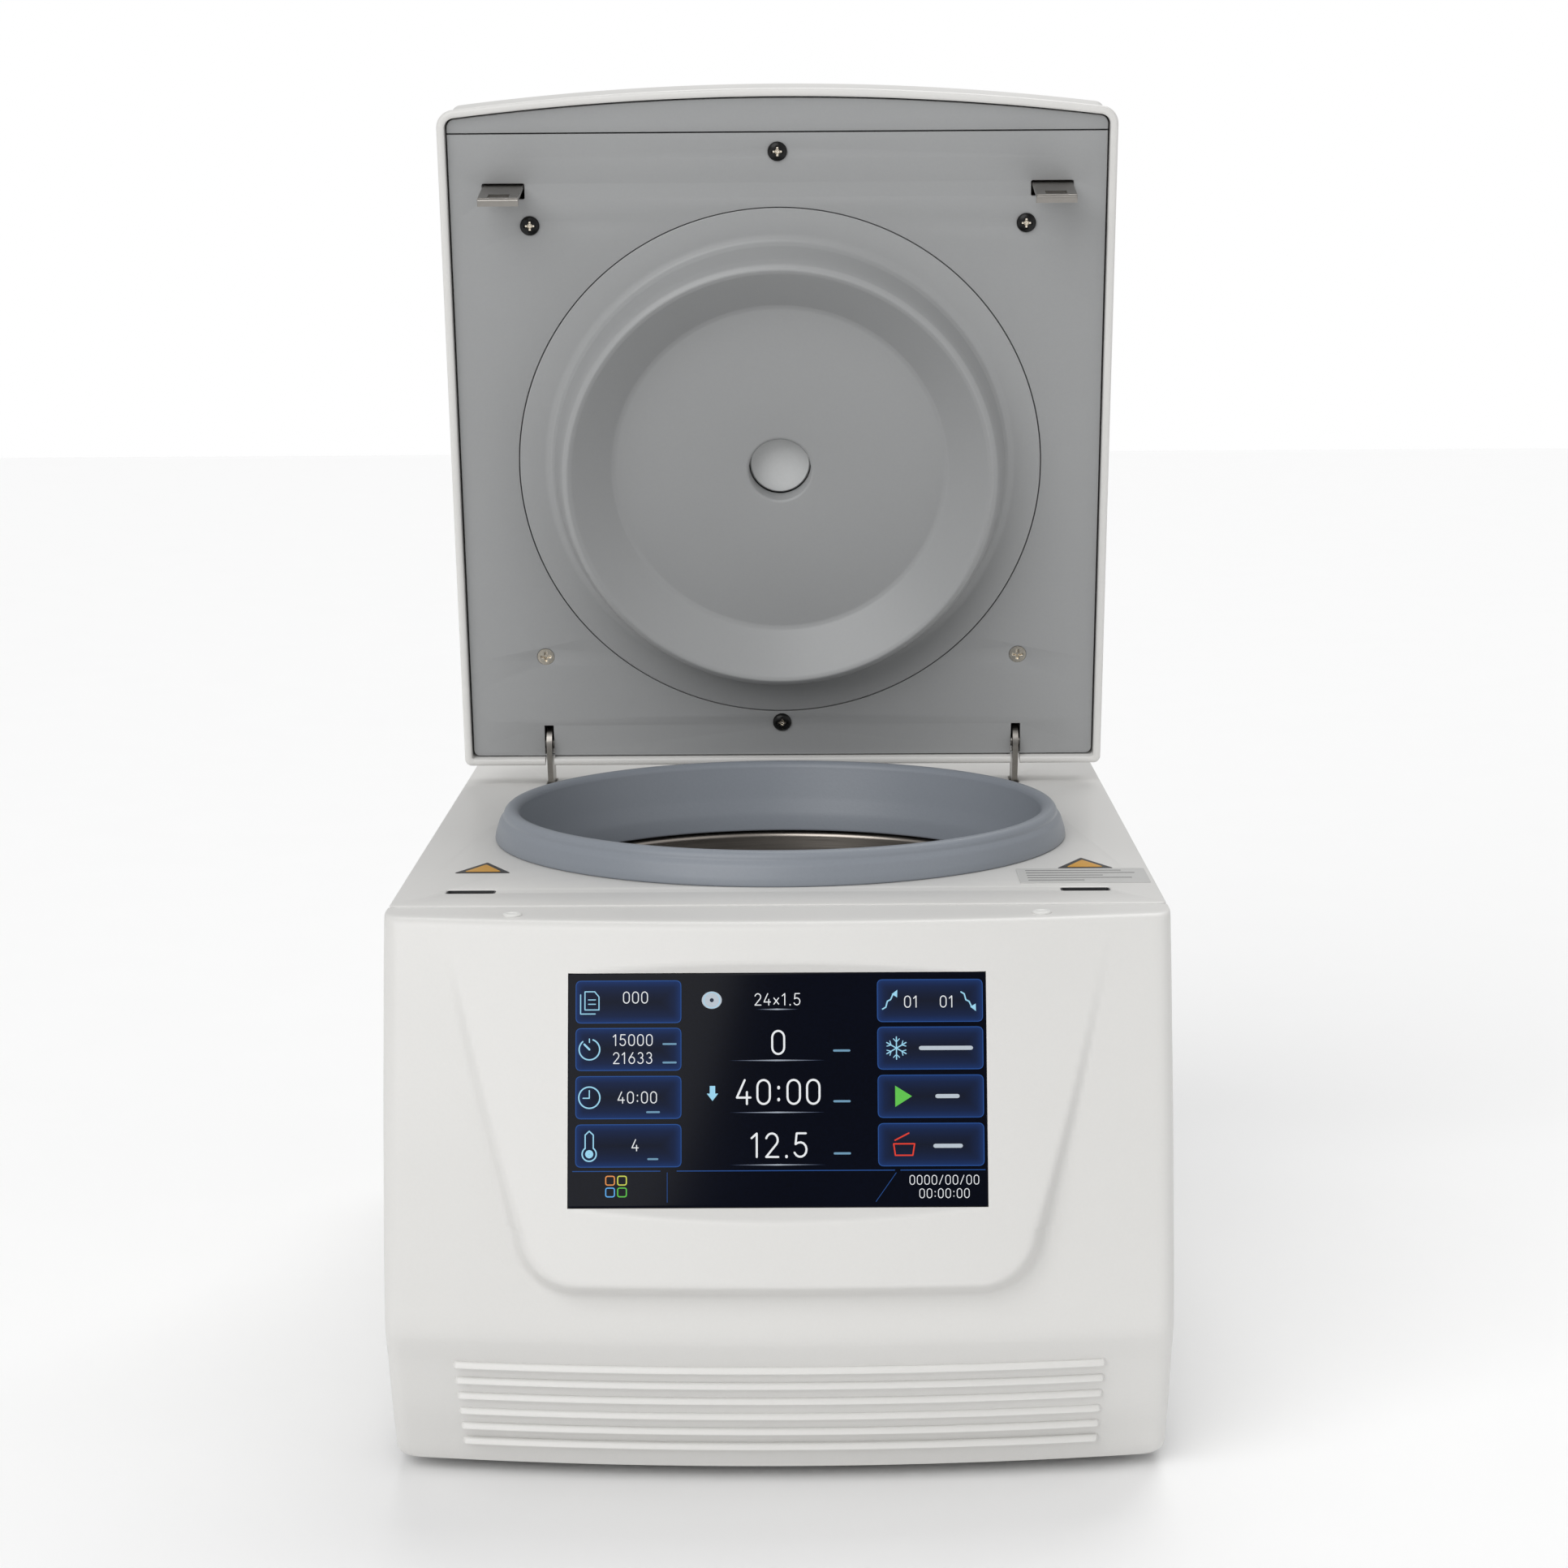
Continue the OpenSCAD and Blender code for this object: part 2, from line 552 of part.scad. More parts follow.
module lid_screws_nickel() color([0.6, 0.57, 0.5]) lid_place() for (p = nickel_spots) translate([p[0], p[1], liner_w]) difference() {
  union() {
    cylinder(r1 = 3.9, r2 = 1.95, h = 1.5);
    cylinder(r = 1.95, h = 13);
  }
  for (a = [0, 90]) rotate([0, 0, a]) box([-2.2, -0.45, -1], [2.2, 0.45, 1]);
}

module hinge_blocks() color(steel) lid_place() pair() difference() {
  box([arm_x + 2.4, 3.6, liner_w + liner_t], [arm_x + 14, 22, lid_t - 5.5]);
  translate([arm_x, pin_s, pin_w]) rotate([0, 90, 0]) cylinder(r = 2.5, h = 13, $fn = 48);
}

place() base_plate();
place() rubber_feet();
place() foot_screws();
place() front_cover();
place() top_cover();
place() left_side_panel();
place() right_side_panel();
place() rear_panel();
place() panel_screws();
place() pad_buttons();
place() warning_triangles();
place() grey_label();
place() bowl_gasket();
place() bowl_wall();
place() bowl_floor();
place() bowl_insulation();
place() evaporator_coil();
place() guard_ring();
place() temperature_probe();
place() shaft_seal();
place() motor_body();
place() motor_cap();
place() motor_stator();
place() shaft_bearings();
place() motor_plate();
place() motor_dampers();
place() compressor();
place() compressor_mounts();
place() condenser();
place() fan_frame();
place() filter_drier();
place() refrigerant_pipes();
place() lock_guides();
place() lock_motor();
place() hinge_brackets();
place() power_inlet();
place() switch_frame();
place() control_board();
place() power_supply();
place() motor_drive();
place() display_module();
place() touch_glass();
place() drive_shaft();
place() motor_core();
place() drive_hub();
place() rotor_body();
place() rotor_cover();
place() rotor_knob();
place() fan_blades();
place() power_rocker();
place() lock_bar();
place() lid_shell();
place() lid_liner();
place() lid_insert();
place() lid_armour();
place() sight_glass();
place() lid_hooks();
place() lid_screws_black();
place() lid_screws_nickel();
place() hinge_blocks();
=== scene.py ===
"""Looks of a bench-top laboratory centrifuge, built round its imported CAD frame."""

import json
import math

import bmesh
import bpy
from mathutils import Matrix, Vector


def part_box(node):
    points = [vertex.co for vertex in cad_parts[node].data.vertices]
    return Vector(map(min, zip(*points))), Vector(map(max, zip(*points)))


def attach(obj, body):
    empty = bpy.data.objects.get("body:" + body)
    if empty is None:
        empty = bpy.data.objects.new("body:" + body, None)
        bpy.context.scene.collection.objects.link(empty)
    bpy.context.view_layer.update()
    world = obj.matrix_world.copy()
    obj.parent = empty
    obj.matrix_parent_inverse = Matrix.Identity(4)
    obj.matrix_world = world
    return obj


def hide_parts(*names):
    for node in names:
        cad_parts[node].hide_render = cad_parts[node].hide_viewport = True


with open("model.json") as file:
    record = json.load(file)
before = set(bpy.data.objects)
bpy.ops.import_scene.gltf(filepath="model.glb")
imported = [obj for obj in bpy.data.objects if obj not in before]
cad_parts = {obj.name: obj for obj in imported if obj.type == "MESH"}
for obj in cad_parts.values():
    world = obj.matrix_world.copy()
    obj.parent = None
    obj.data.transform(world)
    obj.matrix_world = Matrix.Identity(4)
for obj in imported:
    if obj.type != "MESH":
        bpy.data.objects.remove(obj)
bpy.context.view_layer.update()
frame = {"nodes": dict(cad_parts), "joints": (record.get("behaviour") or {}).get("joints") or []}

# ---- places taken from the frame, in millimetres from the deck's front edge and the deck's height ----
MM = 0.001
TOP_LOW, TOP_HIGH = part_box("top_cover")
DECK = TOP_HIGH.z
SEAM = 0.3  # gap between the front cover and the deck
ORIGIN_Y = TOP_LOW.y - SEAM * MM
HALF = TOP_HIGH.x / MM
DEPTH = (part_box("rear_panel")[1].y - ORIGIN_Y) / MM
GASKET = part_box("bowl_gasket")
BOWL_Y = ((GASKET[0].y + GASKET[1].y) / 2 - ORIGIN_Y) / MM
BOW = 846  # radius of the front cover's curve, seen from above
FLOOR = 6 - DECK / MM  # the cabinet's underside, above its rubber feet
SLOT_X = 119  # latch slots and hooks, each side of the middle
ARM_X = 107.4  # hinge arms, each side of the middle
MERGE = 1e-6  # points closer than this become one, in metres


def deck(x, y, z):
    """A point given in millimetres from the middle of the deck's front edge."""
    return Vector((x * MM, y * MM + ORIGIN_Y, z * MM + DECK))


# ---- materials ----
def node(tree, kind, at, **values):
    """A new node at a place in the tree, with its sockets or settings given by name."""
    n = tree.nodes.new(kind)
    n.location = at
    for key, value in values.items():
        if key in n.inputs:
            n.inputs[key].default_value = value
        else:
            setattr(n, key, value)
    return n


def finish_of(name, colour, rough, grain=900, bump=0.04, vary=0.04, metal=0.0, stretch=(1, 1, 1),
              rough_vary=0.08, **extra):
    """A finish with slow and fine colour change, uneven roughness and a fine bumped grain."""
    m = bpy.data.materials.new(name)
    m.use_nodes = True
    t = m.node_tree
    shader = t.nodes["Principled BSDF"]
    place = node(t, "ShaderNodeTexCoord", (-1100, 0))
    scale = node(t, "ShaderNodeMapping", (-900, 0))
    scale.inputs["Scale"].default_value = stretch
    slow = node(t, "ShaderNodeTexNoise", (-700, 200), Scale=14, Detail=3)
    fine = node(t, "ShaderNodeTexNoise", (-700, -200), Scale=grain, Detail=2)
    t.links.new(place.outputs["Object"], scale.inputs["Vector"])
    for n in (slow, fine):
        t.links.new(scale.outputs["Vector"], n.inputs["Vector"])
    both = node(t, "ShaderNodeMath", (-500, 100), operation="ADD")
    t.links.new(slow.outputs["Fac"], both.inputs[0])
    t.links.new(fine.outputs["Fac"], both.inputs[1])
    ramp = node(t, "ShaderNodeMapRange", (-330, 200))
    ramp.inputs["From Min"].default_value = 0.6
    ramp.inputs["From Max"].default_value = 1.4
    t.links.new(both.outputs[0], ramp.inputs["Value"])
    mix = node(t, "ShaderNodeMix", (-150, 200), data_type="RGBA")
    mix.inputs["A"].default_value = (*[c * (1 - vary) for c in colour], 1)
    mix.inputs["B"].default_value = (*[min(1, c * (1 + vary)) for c in colour], 1)
    t.links.new(ramp.outputs["Result"], mix.inputs["Factor"])
    t.links.new(mix.outputs["Result"], shader.inputs["Base Color"])
    gloss = node(t, "ShaderNodeMapRange", (-330, -80))
    gloss.inputs["To Min"].default_value = max(0.02, rough - rough_vary)
    gloss.inputs["To Max"].default_value = min(1, rough + rough_vary)
    t.links.new(slow.outputs["Fac"], gloss.inputs["Value"])
    t.links.new(gloss.outputs["Result"], shader.inputs["Roughness"])
    relief = node(t, "ShaderNodeBump", (-330, -300), Strength=bump, Distance=0.0004)
    t.links.new(fine.outputs["Fac"], relief.inputs["Height"])
    t.links.new(relief.outputs["Normal"], shader.inputs["Normal"])
    shader.inputs["Metallic"].default_value = metal
    for key, value in extra.items():
        shader.inputs[key.replace("_", " ")].default_value = value
    return m


def glowing(name, colour, edge=None):
    """A lit part of the display; with edge, the glow grows from the middle to that colour at the rim."""
    m = bpy.data.materials.new(name)
    m.use_nodes = True
    t = m.node_tree
    shader = t.nodes["Principled BSDF"]
    shader.inputs["Base Color"].default_value = (0.004, 0.006, 0.012, 1)
    shader.inputs["Roughness"].default_value = 0.25
    shader.inputs["Specular IOR Level"].default_value = 0.1
    shader.inputs["Emission Strength"].default_value = 1.0
    place = node(t, "ShaderNodeTexCoord", (-1100, 0))
    noise = node(t, "ShaderNodeTexNoise", (-900, 0), Scale=1400, Detail=1)
    t.links.new(place.outputs["Object"], noise.inputs["Vector"])
    if edge is None:
        factor = noise.outputs["Fac"]
        low, high = [c * 0.9 for c in colour], colour
    else:
        share = node(t, "ShaderNodeUVMap", (-900, 250), uv_map="share")
        split = node(t, "ShaderNodeSeparateXYZ", (-720, 250))
        t.links.new(share.outputs["UV"], split.inputs["Vector"])
        factor = split.outputs["X"]
        low, high = colour, edge
    mix = node(t, "ShaderNodeMix", (-150, 200), data_type="RGBA")
    mix.inputs["A"].default_value = (*low, 1)
    mix.inputs["B"].default_value = (*high, 1)
    t.links.new(factor, mix.inputs["Factor"])
    t.links.new(mix.outputs["Result"], shader.inputs["Emission Color"])
    return m


FINISHES = {
    "white_plastic": finish_of("white_plastic", (0.675, 0.668, 0.65), 0.36, bump=0.05, vary=0.012),
    "white_paint": finish_of("white_paint", (0.68, 0.675, 0.655), 0.42, grain=1600, bump=0.08, vary=0.015),
    "pad_white": finish_of("pad_white", (0.7, 0.7, 0.68), 0.5, bump=0.05),
    "grey_plastic": finish_of("grey_plastic", (0.31, 0.315, 0.318), 0.42, bump=0.06, vary=0.02),
    "blue_rubber": finish_of("blue_rubber", (0.225, 0.247, 0.28), 0.42, bump=0.1, vary=0.03),
    "black_rubber": finish_of("black_rubber", (0.02, 0.02, 0.021), 0.7, bump=0.3, vary=0.2),
    "black_plastic": finish_of("black_plastic", (0.025, 0.025, 0.027), 0.42, bump=0.2, vary=0.15),
    "rocker_red": finish_of("rocker_red", (0.35, 0.03, 0.02), 0.3, bump=0.05, vary=0.08),
    "bowl_steel": finish_of("bowl_steel", (0.33, 0.3, 0.27), 0.3, grain=40, bump=0.06, metal=1,
                            stretch=(1, 1, 30), vary=0.12),
    "zinc_steel": finish_of("zinc_steel", (0.5, 0.5, 0.5), 0.42, grain=500, bump=0.1, metal=1, vary=0.1),
    "bracket_steel": finish_of("bracket_steel", (0.3, 0.285, 0.265), 0.3, grain=300, bump=0.1, metal=1,
                               stretch=(1, 6, 1), vary=0.08),
    "bearing_steel": finish_of("bearing_steel", (0.6, 0.6, 0.6), 0.18, metal=1, vary=0.05),
    "screw_steel": finish_of("screw_steel", (0.55, 0.55, 0.55), 0.25, metal=1, vary=0.08),
    "screw_black": finish_of("screw_black", (0.005, 0.005, 0.005), 0.3, bump=0.1, vary=0.2,
                             Specular_IOR_Level=0.25),
    "screw_nickel": finish_of("screw_nickel", (0.74, 0.68, 0.58), 0.2, metal=1, vary=0.08),
    "cast_alloy": finish_of("cast_alloy", (0.4, 0.4, 0.41), 0.55, grain=400, bump=0.4, metal=1, vary=0.1),
    "fin_aluminium": finish_of("fin_aluminium", (0.6, 0.6, 0.6), 0.35, metal=1, vary=0.06),
    "anodised": finish_of("anodised", (0.09, 0.09, 0.1), 0.35, grain=1200, bump=0.15, metal=1, vary=0.1),
    "lamination": finish_of("lamination", (0.2, 0.2, 0.21), 0.5, grain=1500, bump=0.3, metal=1,
                            stretch=(0.05, 0.05, 1), vary=0.15),
    "copper_tube": finish_of("copper_tube", (0.6, 0.3, 0.17), 0.3, metal=1, vary=0.1),
    "black_paint": finish_of("black_paint", (0.02, 0.02, 0.022), 0.35, grain=700, bump=0.2, vary=0.15),
    "foam": finish_of("foam", (0.7, 0.62, 0.4), 0.9, grain=400, bump=0.8, vary=0.12),
    "board_green": finish_of("board_green", (0.02, 0.12, 0.05), 0.35, grain=500, bump=0.2, vary=0.2),
    "screen_glass": finish_of("screen_glass", (0.001, 0.0018, 0.006), 0.12, rough_vary=0.02, bump=0.0,
                              vary=0.3, Specular_IOR_Level=0.08),
    "sight_clear": finish_of("sight_clear", (0.66, 0.67, 0.67), 0.3, bump=0.05, vary=0.03),
    "label_yellow": finish_of("label_yellow", (0.62, 0.3, 0.01), 0.4, vary=0.05),
    "label_grey": finish_of("label_grey", (0.5, 0.5, 0.49), 0.45, vary=0.03),
    "label_black": finish_of("label_black", (0.015, 0.015, 0.015), 0.45, vary=0.1),
    "label_ink": finish_of("label_ink", (0.2, 0.2, 0.2), 0.5, vary=0.1),
}


# ---- making pieces ----
def smooth(mesh, crease):
    """Smooth shading, kept sharp where faces meet at more than an angle in degrees."""
    for p in mesh.polygons:
        p.use_smooth = True
    mesh.set_sharp_from_angle(angle=math.radians(crease))


def piece(name, mesh, slot, body, stands_for=(), finish=None, crease=35):
    """A mesh becomes a shown piece that rides on a body."""
    o = bpy.data.objects.new(name, mesh)
    bpy.context.scene.collection.objects.link(o)
    mesh.materials.clear()
    mesh.materials.append(FINISHES[finish or slot])
    smooth(mesh, crease)
    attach(o, body)
    if stands_for:
        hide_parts(*stands_for)
    return o


def clean(mesh):
    """Merges points that coincide and turns every face outward."""
    b = bmesh.new()
    b.from_mesh(mesh)
    bmesh.ops.remove_doubles(b, verts=b.verts, dist=MERGE)
    bmesh.ops.recalc_face_normals(b, faces=b.faces)
    b.to_mesh(mesh)
    b.free()
    return mesh


def mesh_of(points, faces):
    """A clean mesh from points and faces."""
    m = bpy.data.meshes.new("shape")
    m.from_pydata([tuple(p) for p in points], [], faces)
    return clean(m)


def skin(rows, closed=False, caps=False):
    """Rows of points with equal counts, skinned with quads."""
    n = len(rows[0])
    faces = []
    for j in range(len(rows) - 1):
        for i in range(n if closed else n - 1):
            k = (i + 1) % n
            faces.append((j * n + i, j * n + k, (j + 1) * n + k, (j + 1) * n + i))
    if caps:
        faces.append(tuple(range(n))[::-1])
        faces.append(tuple((len(rows) - 1) * n + i for i in range(n)))
    return mesh_of([p for row in rows for p in row], faces)


def fillet(points, radius, steps=4, closed=True):
    """A polyline with each corner rounded, by no more than a third of the shorter side beside it."""
    out = []
    n = len(points)
    for i, p in enumerate(points):
        if not closed and i in (0, n - 1):
            out.append(tuple(Vector(p)))
            continue
        p, a, b = Vector(p), Vector(points[i - 1]), Vector(points[(i + 1) % n])
        r = min(radius, (a - p).length / 3, (b - p).length / 3)
        s, e = p + (a - p).normalized() * r, p + (b - p).normalized() * r
        for k in range(steps + 1):
            t = k / steps
            out.append(tuple(s * (1 - t) ** 2 + p * 2 * t * (1 - t) + e * t ** 2))
    return out


def lathe(profile, place, count=192, closed=True):
    """A section in radius and height turned about the axis that place(x, y, h) is centred on."""
    rows = []
    for i in range(count):
        a = 2 * math.pi * i / count
        rows.append([place(r * math.cos(a), r * math.sin(a), h) for r, h in profile])
    rows.append(rows[0])
    return skin(rows, closed=closed)


def plate(loops, thickness, bevel, place):
    """A flat plate with holes and rounded edges; place(x, y, z) puts it, z running from 0 to thickness."""
    c = bpy.data.curves.new("plate", "CURVE")
    c.dimensions, c.fill_mode = "2D", "BOTH"
    c.extrude, c.bevel_depth, c.offset, c.bevel_resolution = thickness / 2 - bevel, bevel, -bevel, 2
    for loop in loops:
        s = c.splines.new("POLY")
        s.points.add(len(loop) - 1)
        for q, p in zip(s.points, loop):
            q.co = (p[0], p[1], 0, 1)
        s.use_cyclic_u = True
    o = bpy.data.objects.new("plate", c)
    bpy.context.scene.collection.objects.link(o)
    bpy.context.view_layer.update()
    m = bpy.data.meshes.new_from_object(o.evaluated_get(bpy.context.evaluated_depsgraph_get()))
    bpy.data.objects.remove(o)
    bpy.data.curves.remove(c)
    for v in m.vertices:
        v.co = place(v.co.x, v.co.y, v.co.z + thickness / 2)
    return clean(m)


def circle(x, y, r, count=160):
    """Outline of a circle."""
    return [(x + r * math.cos(2 * math.pi * i / count), y + r * math.sin(2 * math.pi * i / count))
            for i in range(count)]


def rounded_box(x0, y0, x1, y1, r):
    """Outline of a rectangle between two corners, rounded."""
    return fillet([(x0, y0), (x1, y0), (x1, y1), (x0, y1)], r, 6)


def cut(obj, cutters, crease=32):
    """Takes each cutter's mesh away from the piece and shades what is left."""
    for m in cutters:
        c = bpy.data.objects.new("cutter", m)
        bpy.context.scene.collection.objects.link(c)
        mod = obj.modifiers.new("cut", "BOOLEAN")
        mod.operation, mod.object, mod.solver = "DIFFERENCE", c, "EXACT"
        bpy.context.view_layer.update()
        new = bpy.data.meshes.new_from_object(obj.evaluated_get(bpy.context.evaluated_depsgraph_get()))
        obj.modifiers.remove(mod)
        obj.data = new
        bpy.data.objects.remove(c)
    smooth(obj.data, crease)


def block(a, b, place):
    """A box between two corners, for cutting with."""
    x, y, z = zip(a, b)
    points = [place(x[i], y[j], z[k]) for i in (0, 1) for j in (0, 1) for k in (0, 1)]
    return mesh_of(points, [(0, 1, 3, 2), (4, 6, 7, 5), (0, 4, 5, 1), (2, 3, 7, 6), (0, 2, 6, 4), (1, 5, 7, 3)])


# ---- front cover ----
BASE = [(-27.5, -0.4), (-31, -3), (-43.6, -55), (-48.4, -78), (-52, -99), (-56.3, -126), (-58, -142),
        (-58.3, -149), (-57.6, -154), (-55.4, -159), (-52.3, -165), (-47.6, -176), (-42.9, -187.5),
        (-36.8, -199.4), (-33.4, -206.5), (-31, FLOOR)]
CORNER = 6  # rounding of the cover's upright corners
FOOT = 5  # rounding of its lower edge
LIP = [(-27, -0.42), (-28.2, -0.6), (-29.4, -1), (-30.3, -1.8)]
LEAN = math.radians(16)
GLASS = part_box("touch_glass")
GLASS_T = 1.5
SCREEN_W = GLASS[1].x / MM  # half the display's width, and half its height
SCREEN_H = 42.95
SCREEN_Z = ((GLASS[0].z + GLASS[1].z) / 2 - DECK) / MM + GLASS_T / 2 * math.sin(LEAN)
SCREEN_Y = ((GLASS[0].y + GLASS[1].y) / 2 - ORIGIN_Y) / MM - GLASS_T / 2 * math.cos(LEAN)
WINDOW_X = SCREEN_W + 0.25
WINDOW_Z = (SCREEN_H + 0.25) * math.cos(LEAN)


def base_y(z):
    """The cover's mid section: how far forward it is at a height, smoothly through its known points."""
    pts = BASE
    i = next((k for k in range(len(pts) - 1) if pts[k + 1][1] <= z), len(pts) - 2)
    (y0, z0), (y1, z1) = pts[i], pts[i + 1]

    def slope(k):
        k = min(max(k, 1), len(pts) - 2)
        return (pts[k + 1][0] - pts[k - 1][0]) / (pts[k + 1][1] - pts[k - 1][1])

    h = z1 - z0
    t = min(max((z - z0) / h, 0), 1)
    m0 = slope(i) * h if i else (y1 - y0)
    m1 = slope(i + 1) * h
    return ((2 * t**3 - 3 * t**2 + 1) * y0 + (t**3 - 2 * t**2 + t) * m0
            + (3 * t**2 - 2 * t**3) * y1 + (t**3 - t**2) * m1)


def bowed(y, x):
    """The same section y at a distance x from the middle, turned about the far upright axis."""
    return BOW - math.sqrt((BOW - y) ** 2 - x * x)


def shield(x, z):
    """How far inside the raised shield's outline a point is, in millimetres."""
    x = abs(x)
    if x > 74.1 and z < -111:
        return 26 - math.hypot(x - 74.1, z + 111)
    return min((126 + 26.5 * z / 116.7 - x) * 0.975, z + 137)


def front_y(x, z):
    """The face: the mid section, bowed, with the shield raised on it and a flat seat for the display."""
    base = base_y(z)
    raised = -31 - 36.4 * (-2.6 - z) / 125.9
    depth = max(0, base - raised)
    inside = shield(x, z)
    if depth <= 0 or inside <= 0:
        return bowed(base, x)
    t = min(1, inside / max(1.5, 0.8 * depth))
    y = bowed(base - depth * t * t * (3 - 2 * t), x)
    up = (z - SCREEN_Z) / math.cos(LEAN)
    away = math.hypot(max(0, abs(x) - SCREEN_W), max(0, abs(up) - SCREEN_H))
    if away < 12:
        y = max(y, SCREEN_Y + (z - SCREEN_Z) * math.tan(LEAN) - 0.25 - 0.7 * away)
    return y


def spaced(stops, step):
    """Numbers through every stop, about a step apart."""
    out = [stops[0]]
    for a, b in zip(stops, stops[1:]):
        n = max(1, round(abs(b - a) / step))
        out += [a + (b - a) * (k + 1) / n for k in range(n)]
    return out


def cover_heights():
    """Heights of the cover's rows below its lip."""
    body = spaced([-3, SCREEN_Z + WINDOW_Z, SCREEN_Z - WINDOW_Z, -140, FLOOR + FOOT], 1.0)
    return body + [FLOOR + FOOT - k for k in range(1, FOOT + 1)]


def tucked(z):
    """How far the cover's rounded lower edge has turned in at a height."""
    drop = FLOOR + FOOT - z
    return FOOT - math.sqrt(max(0, FOOT ** 2 - drop ** 2)) if drop > 0 else 0


def cover_face():
    """The cover's top strip, face and rounded corners in one sheet."""
    flat = HALF - CORNER
    turns = [math.radians(15 * k) for k in range(1, 7)]
    corner = [(flat + CORNER * math.sin(a), CORNER * (1 - math.cos(a))) for a in turns]
    across = spaced([-flat, -WINDOW_X, WINDOW_X, flat], 1.6)
    columns = [(-x, d) for x, d in corner[::-1]] + [(x, 0) for x in across] + corner
    rows = [[deck(x, (bowed(LIP[0][0], x) + d) * t, -0.4) for x, d in columns] for t in (0, 0.2, 0.4, 0.6, 0.8)]
    rows += [[deck(x, bowed(y, x) + d, z) for x, d in columns] for y, z in LIP]
    for z in cover_heights():
        rows.append([deck(x * (1 - 0.5 * tucked(z) / HALF), front_y(x, z) if d == 0 else bowed(base_y(z), x) + d, z)
                     for x, d in columns])
    rows.append([deck(x * 0.975, bowed(base_y(FLOOR), x) + d + 12, FLOOR) for x, d in columns])
    return skin(rows)


def open_window(mesh):
    """Takes the display's window out of the face and turns its edge 4 mm in."""
    def inside(point, margin):
        return (abs(point.x) < (WINDOW_X + margin) * MM and point.y < ORIGIN_Y - 0.02
                and abs(point.z - DECK - SCREEN_Z * MM) < (WINDOW_Z + margin) * MM)

    b = bmesh.new()
    b.from_mesh(mesh)
    bmesh.ops.delete(b, geom=[f for f in b.faces if inside(f.calc_center_median(), 0)], context="FACES")
    edge = [e for e in b.edges if e.is_boundary and all(inside(v.co, 0.1) for v in e.verts)]
    deeper = bmesh.ops.extrude_edge_only(b, edges=edge)["geom"]
    into = Vector((0, math.cos(LEAN), -math.sin(LEAN))) * 4 * MM
    for v in [g for g in deeper if isinstance(g, bmesh.types.BMVert)]:
        v.co += into
    b.to_mesh(mesh)
    b.free()


def front_cover():
    """The cover's face, and the flat side behind each of its corners."""
    m = cover_face()
    open_window(m)
    piece("front_cover_skin", m, "white_plastic", "cabinet", ["front_cover"], crease=50)
    fronts = [(bowed(y, HALF), z) for y, z in LIP] + [(bowed(base_y(z), HALF), z) for z in cover_heights()]
    side = []
    for y, z in fronts:
        x = HALF - 0.5 * tucked(z)
        side.append([(x, (y + CORNER) * (1 - k / 6) + 0.05 * k / 6, z) for k in range(7)])
    for name, s in (("right", 1), ("left", -1)):
        m = skin([[deck(s * x, y, z) for x, y, z in row] for row in side])
        piece("front_cover_" + name, m, "white_plastic", "cabinet")


# one rib's section, forward and up, and the length over which its ends round off
RIB = [(1.2, -1.3), (-1.9, -1.28), (-2.2, -1.18), (-2.35, -0.9), (-2.3, -0.6), (-1.7, 0.6), (-1.4, 1.05),
       (-1.1, 1.25), (-0.7, 1.35), (1.2, 1.35)]
RIB_END = 1.4
RIB_PITCH = 7


def ribs():
    """Six low ribs across the foot of the cover, following its curve."""
    tip = [RIB_END * (1 - math.cos(math.radians(15 * k))) for k in range(6)]
    for i in range(6):
        z, y, reach = -165.6 - RIB_PITCH * i, -52 + 0.43 * RIB_PITCH * i, 122 - 0.3 * i
        rows = []
        for x in ([t - reach for t in tip] + spaced([RIB_END - reach, reach - RIB_END], 4)
                  + [reach - t for t in tip[::-1]]):
            end = min(1, (reach - abs(x)) / RIB_END)
            grow = math.sqrt(max(0.0004, 1 - (1 - end) ** 2))
            rows.append([deck(x, bowed(y, x) + (o * grow if o < 0 else o), z + h * grow) for o, h in RIB])
        piece(f"front_rib_{i + 1}", skin(rows, closed=True, caps=True), "white_plastic", "cabinet", crease=60)


# ---- deck ----
def top_cover():
    """The deck plate with the chamber, latch and hinge openings, and the liners of the latch slots."""
    loops = [rounded_box(-HALF, SEAM, HALF, DEPTH, 4), circle(0, BOWL_Y, 115)]
    for s in (-1, 1):
        loops.append(rounded_box(s * SLOT_X - 9.5, 25.3, s * SLOT_X + 9.5, 32.8, 1.6))
        loops.append(rounded_box(s * ARM_X - 1.9, 284.5, s * ARM_X + 1.9, 305.5, 1))
    m = plate(loops, 3, 0.7, lambda x, y, z: deck(x, y, z - 3))
    piece("deck_plate", m, "white_plastic", "cabinet", ["top_cover"])
    for name, x in (("right", SLOT_X), ("left", -SLOT_X)):
        loops = [rounded_box(x - 9.45, 25.35, x + 9.45, 32.75, 1.5),
                 rounded_box(x - 8.9, 25.9, x + 8.9, 32.2, 1)]
        m = plate(loops, 2.5, 0.08, lambda a, b, c: deck(a, b, c - 2.8))
        piece("latch_slot_" + name, m, "black_plastic", "cabinet")


def round_on_deck(name, profile, radius, slot, stands_for):
    """A section turned about the chamber's axis, with its corners rounded."""
    m = lathe(fillet(profile, radius), lambda x, y, h: deck(x, y + BOWL_Y, h))
    piece(name, m, slot, "cabinet", stands_for, crease=60)


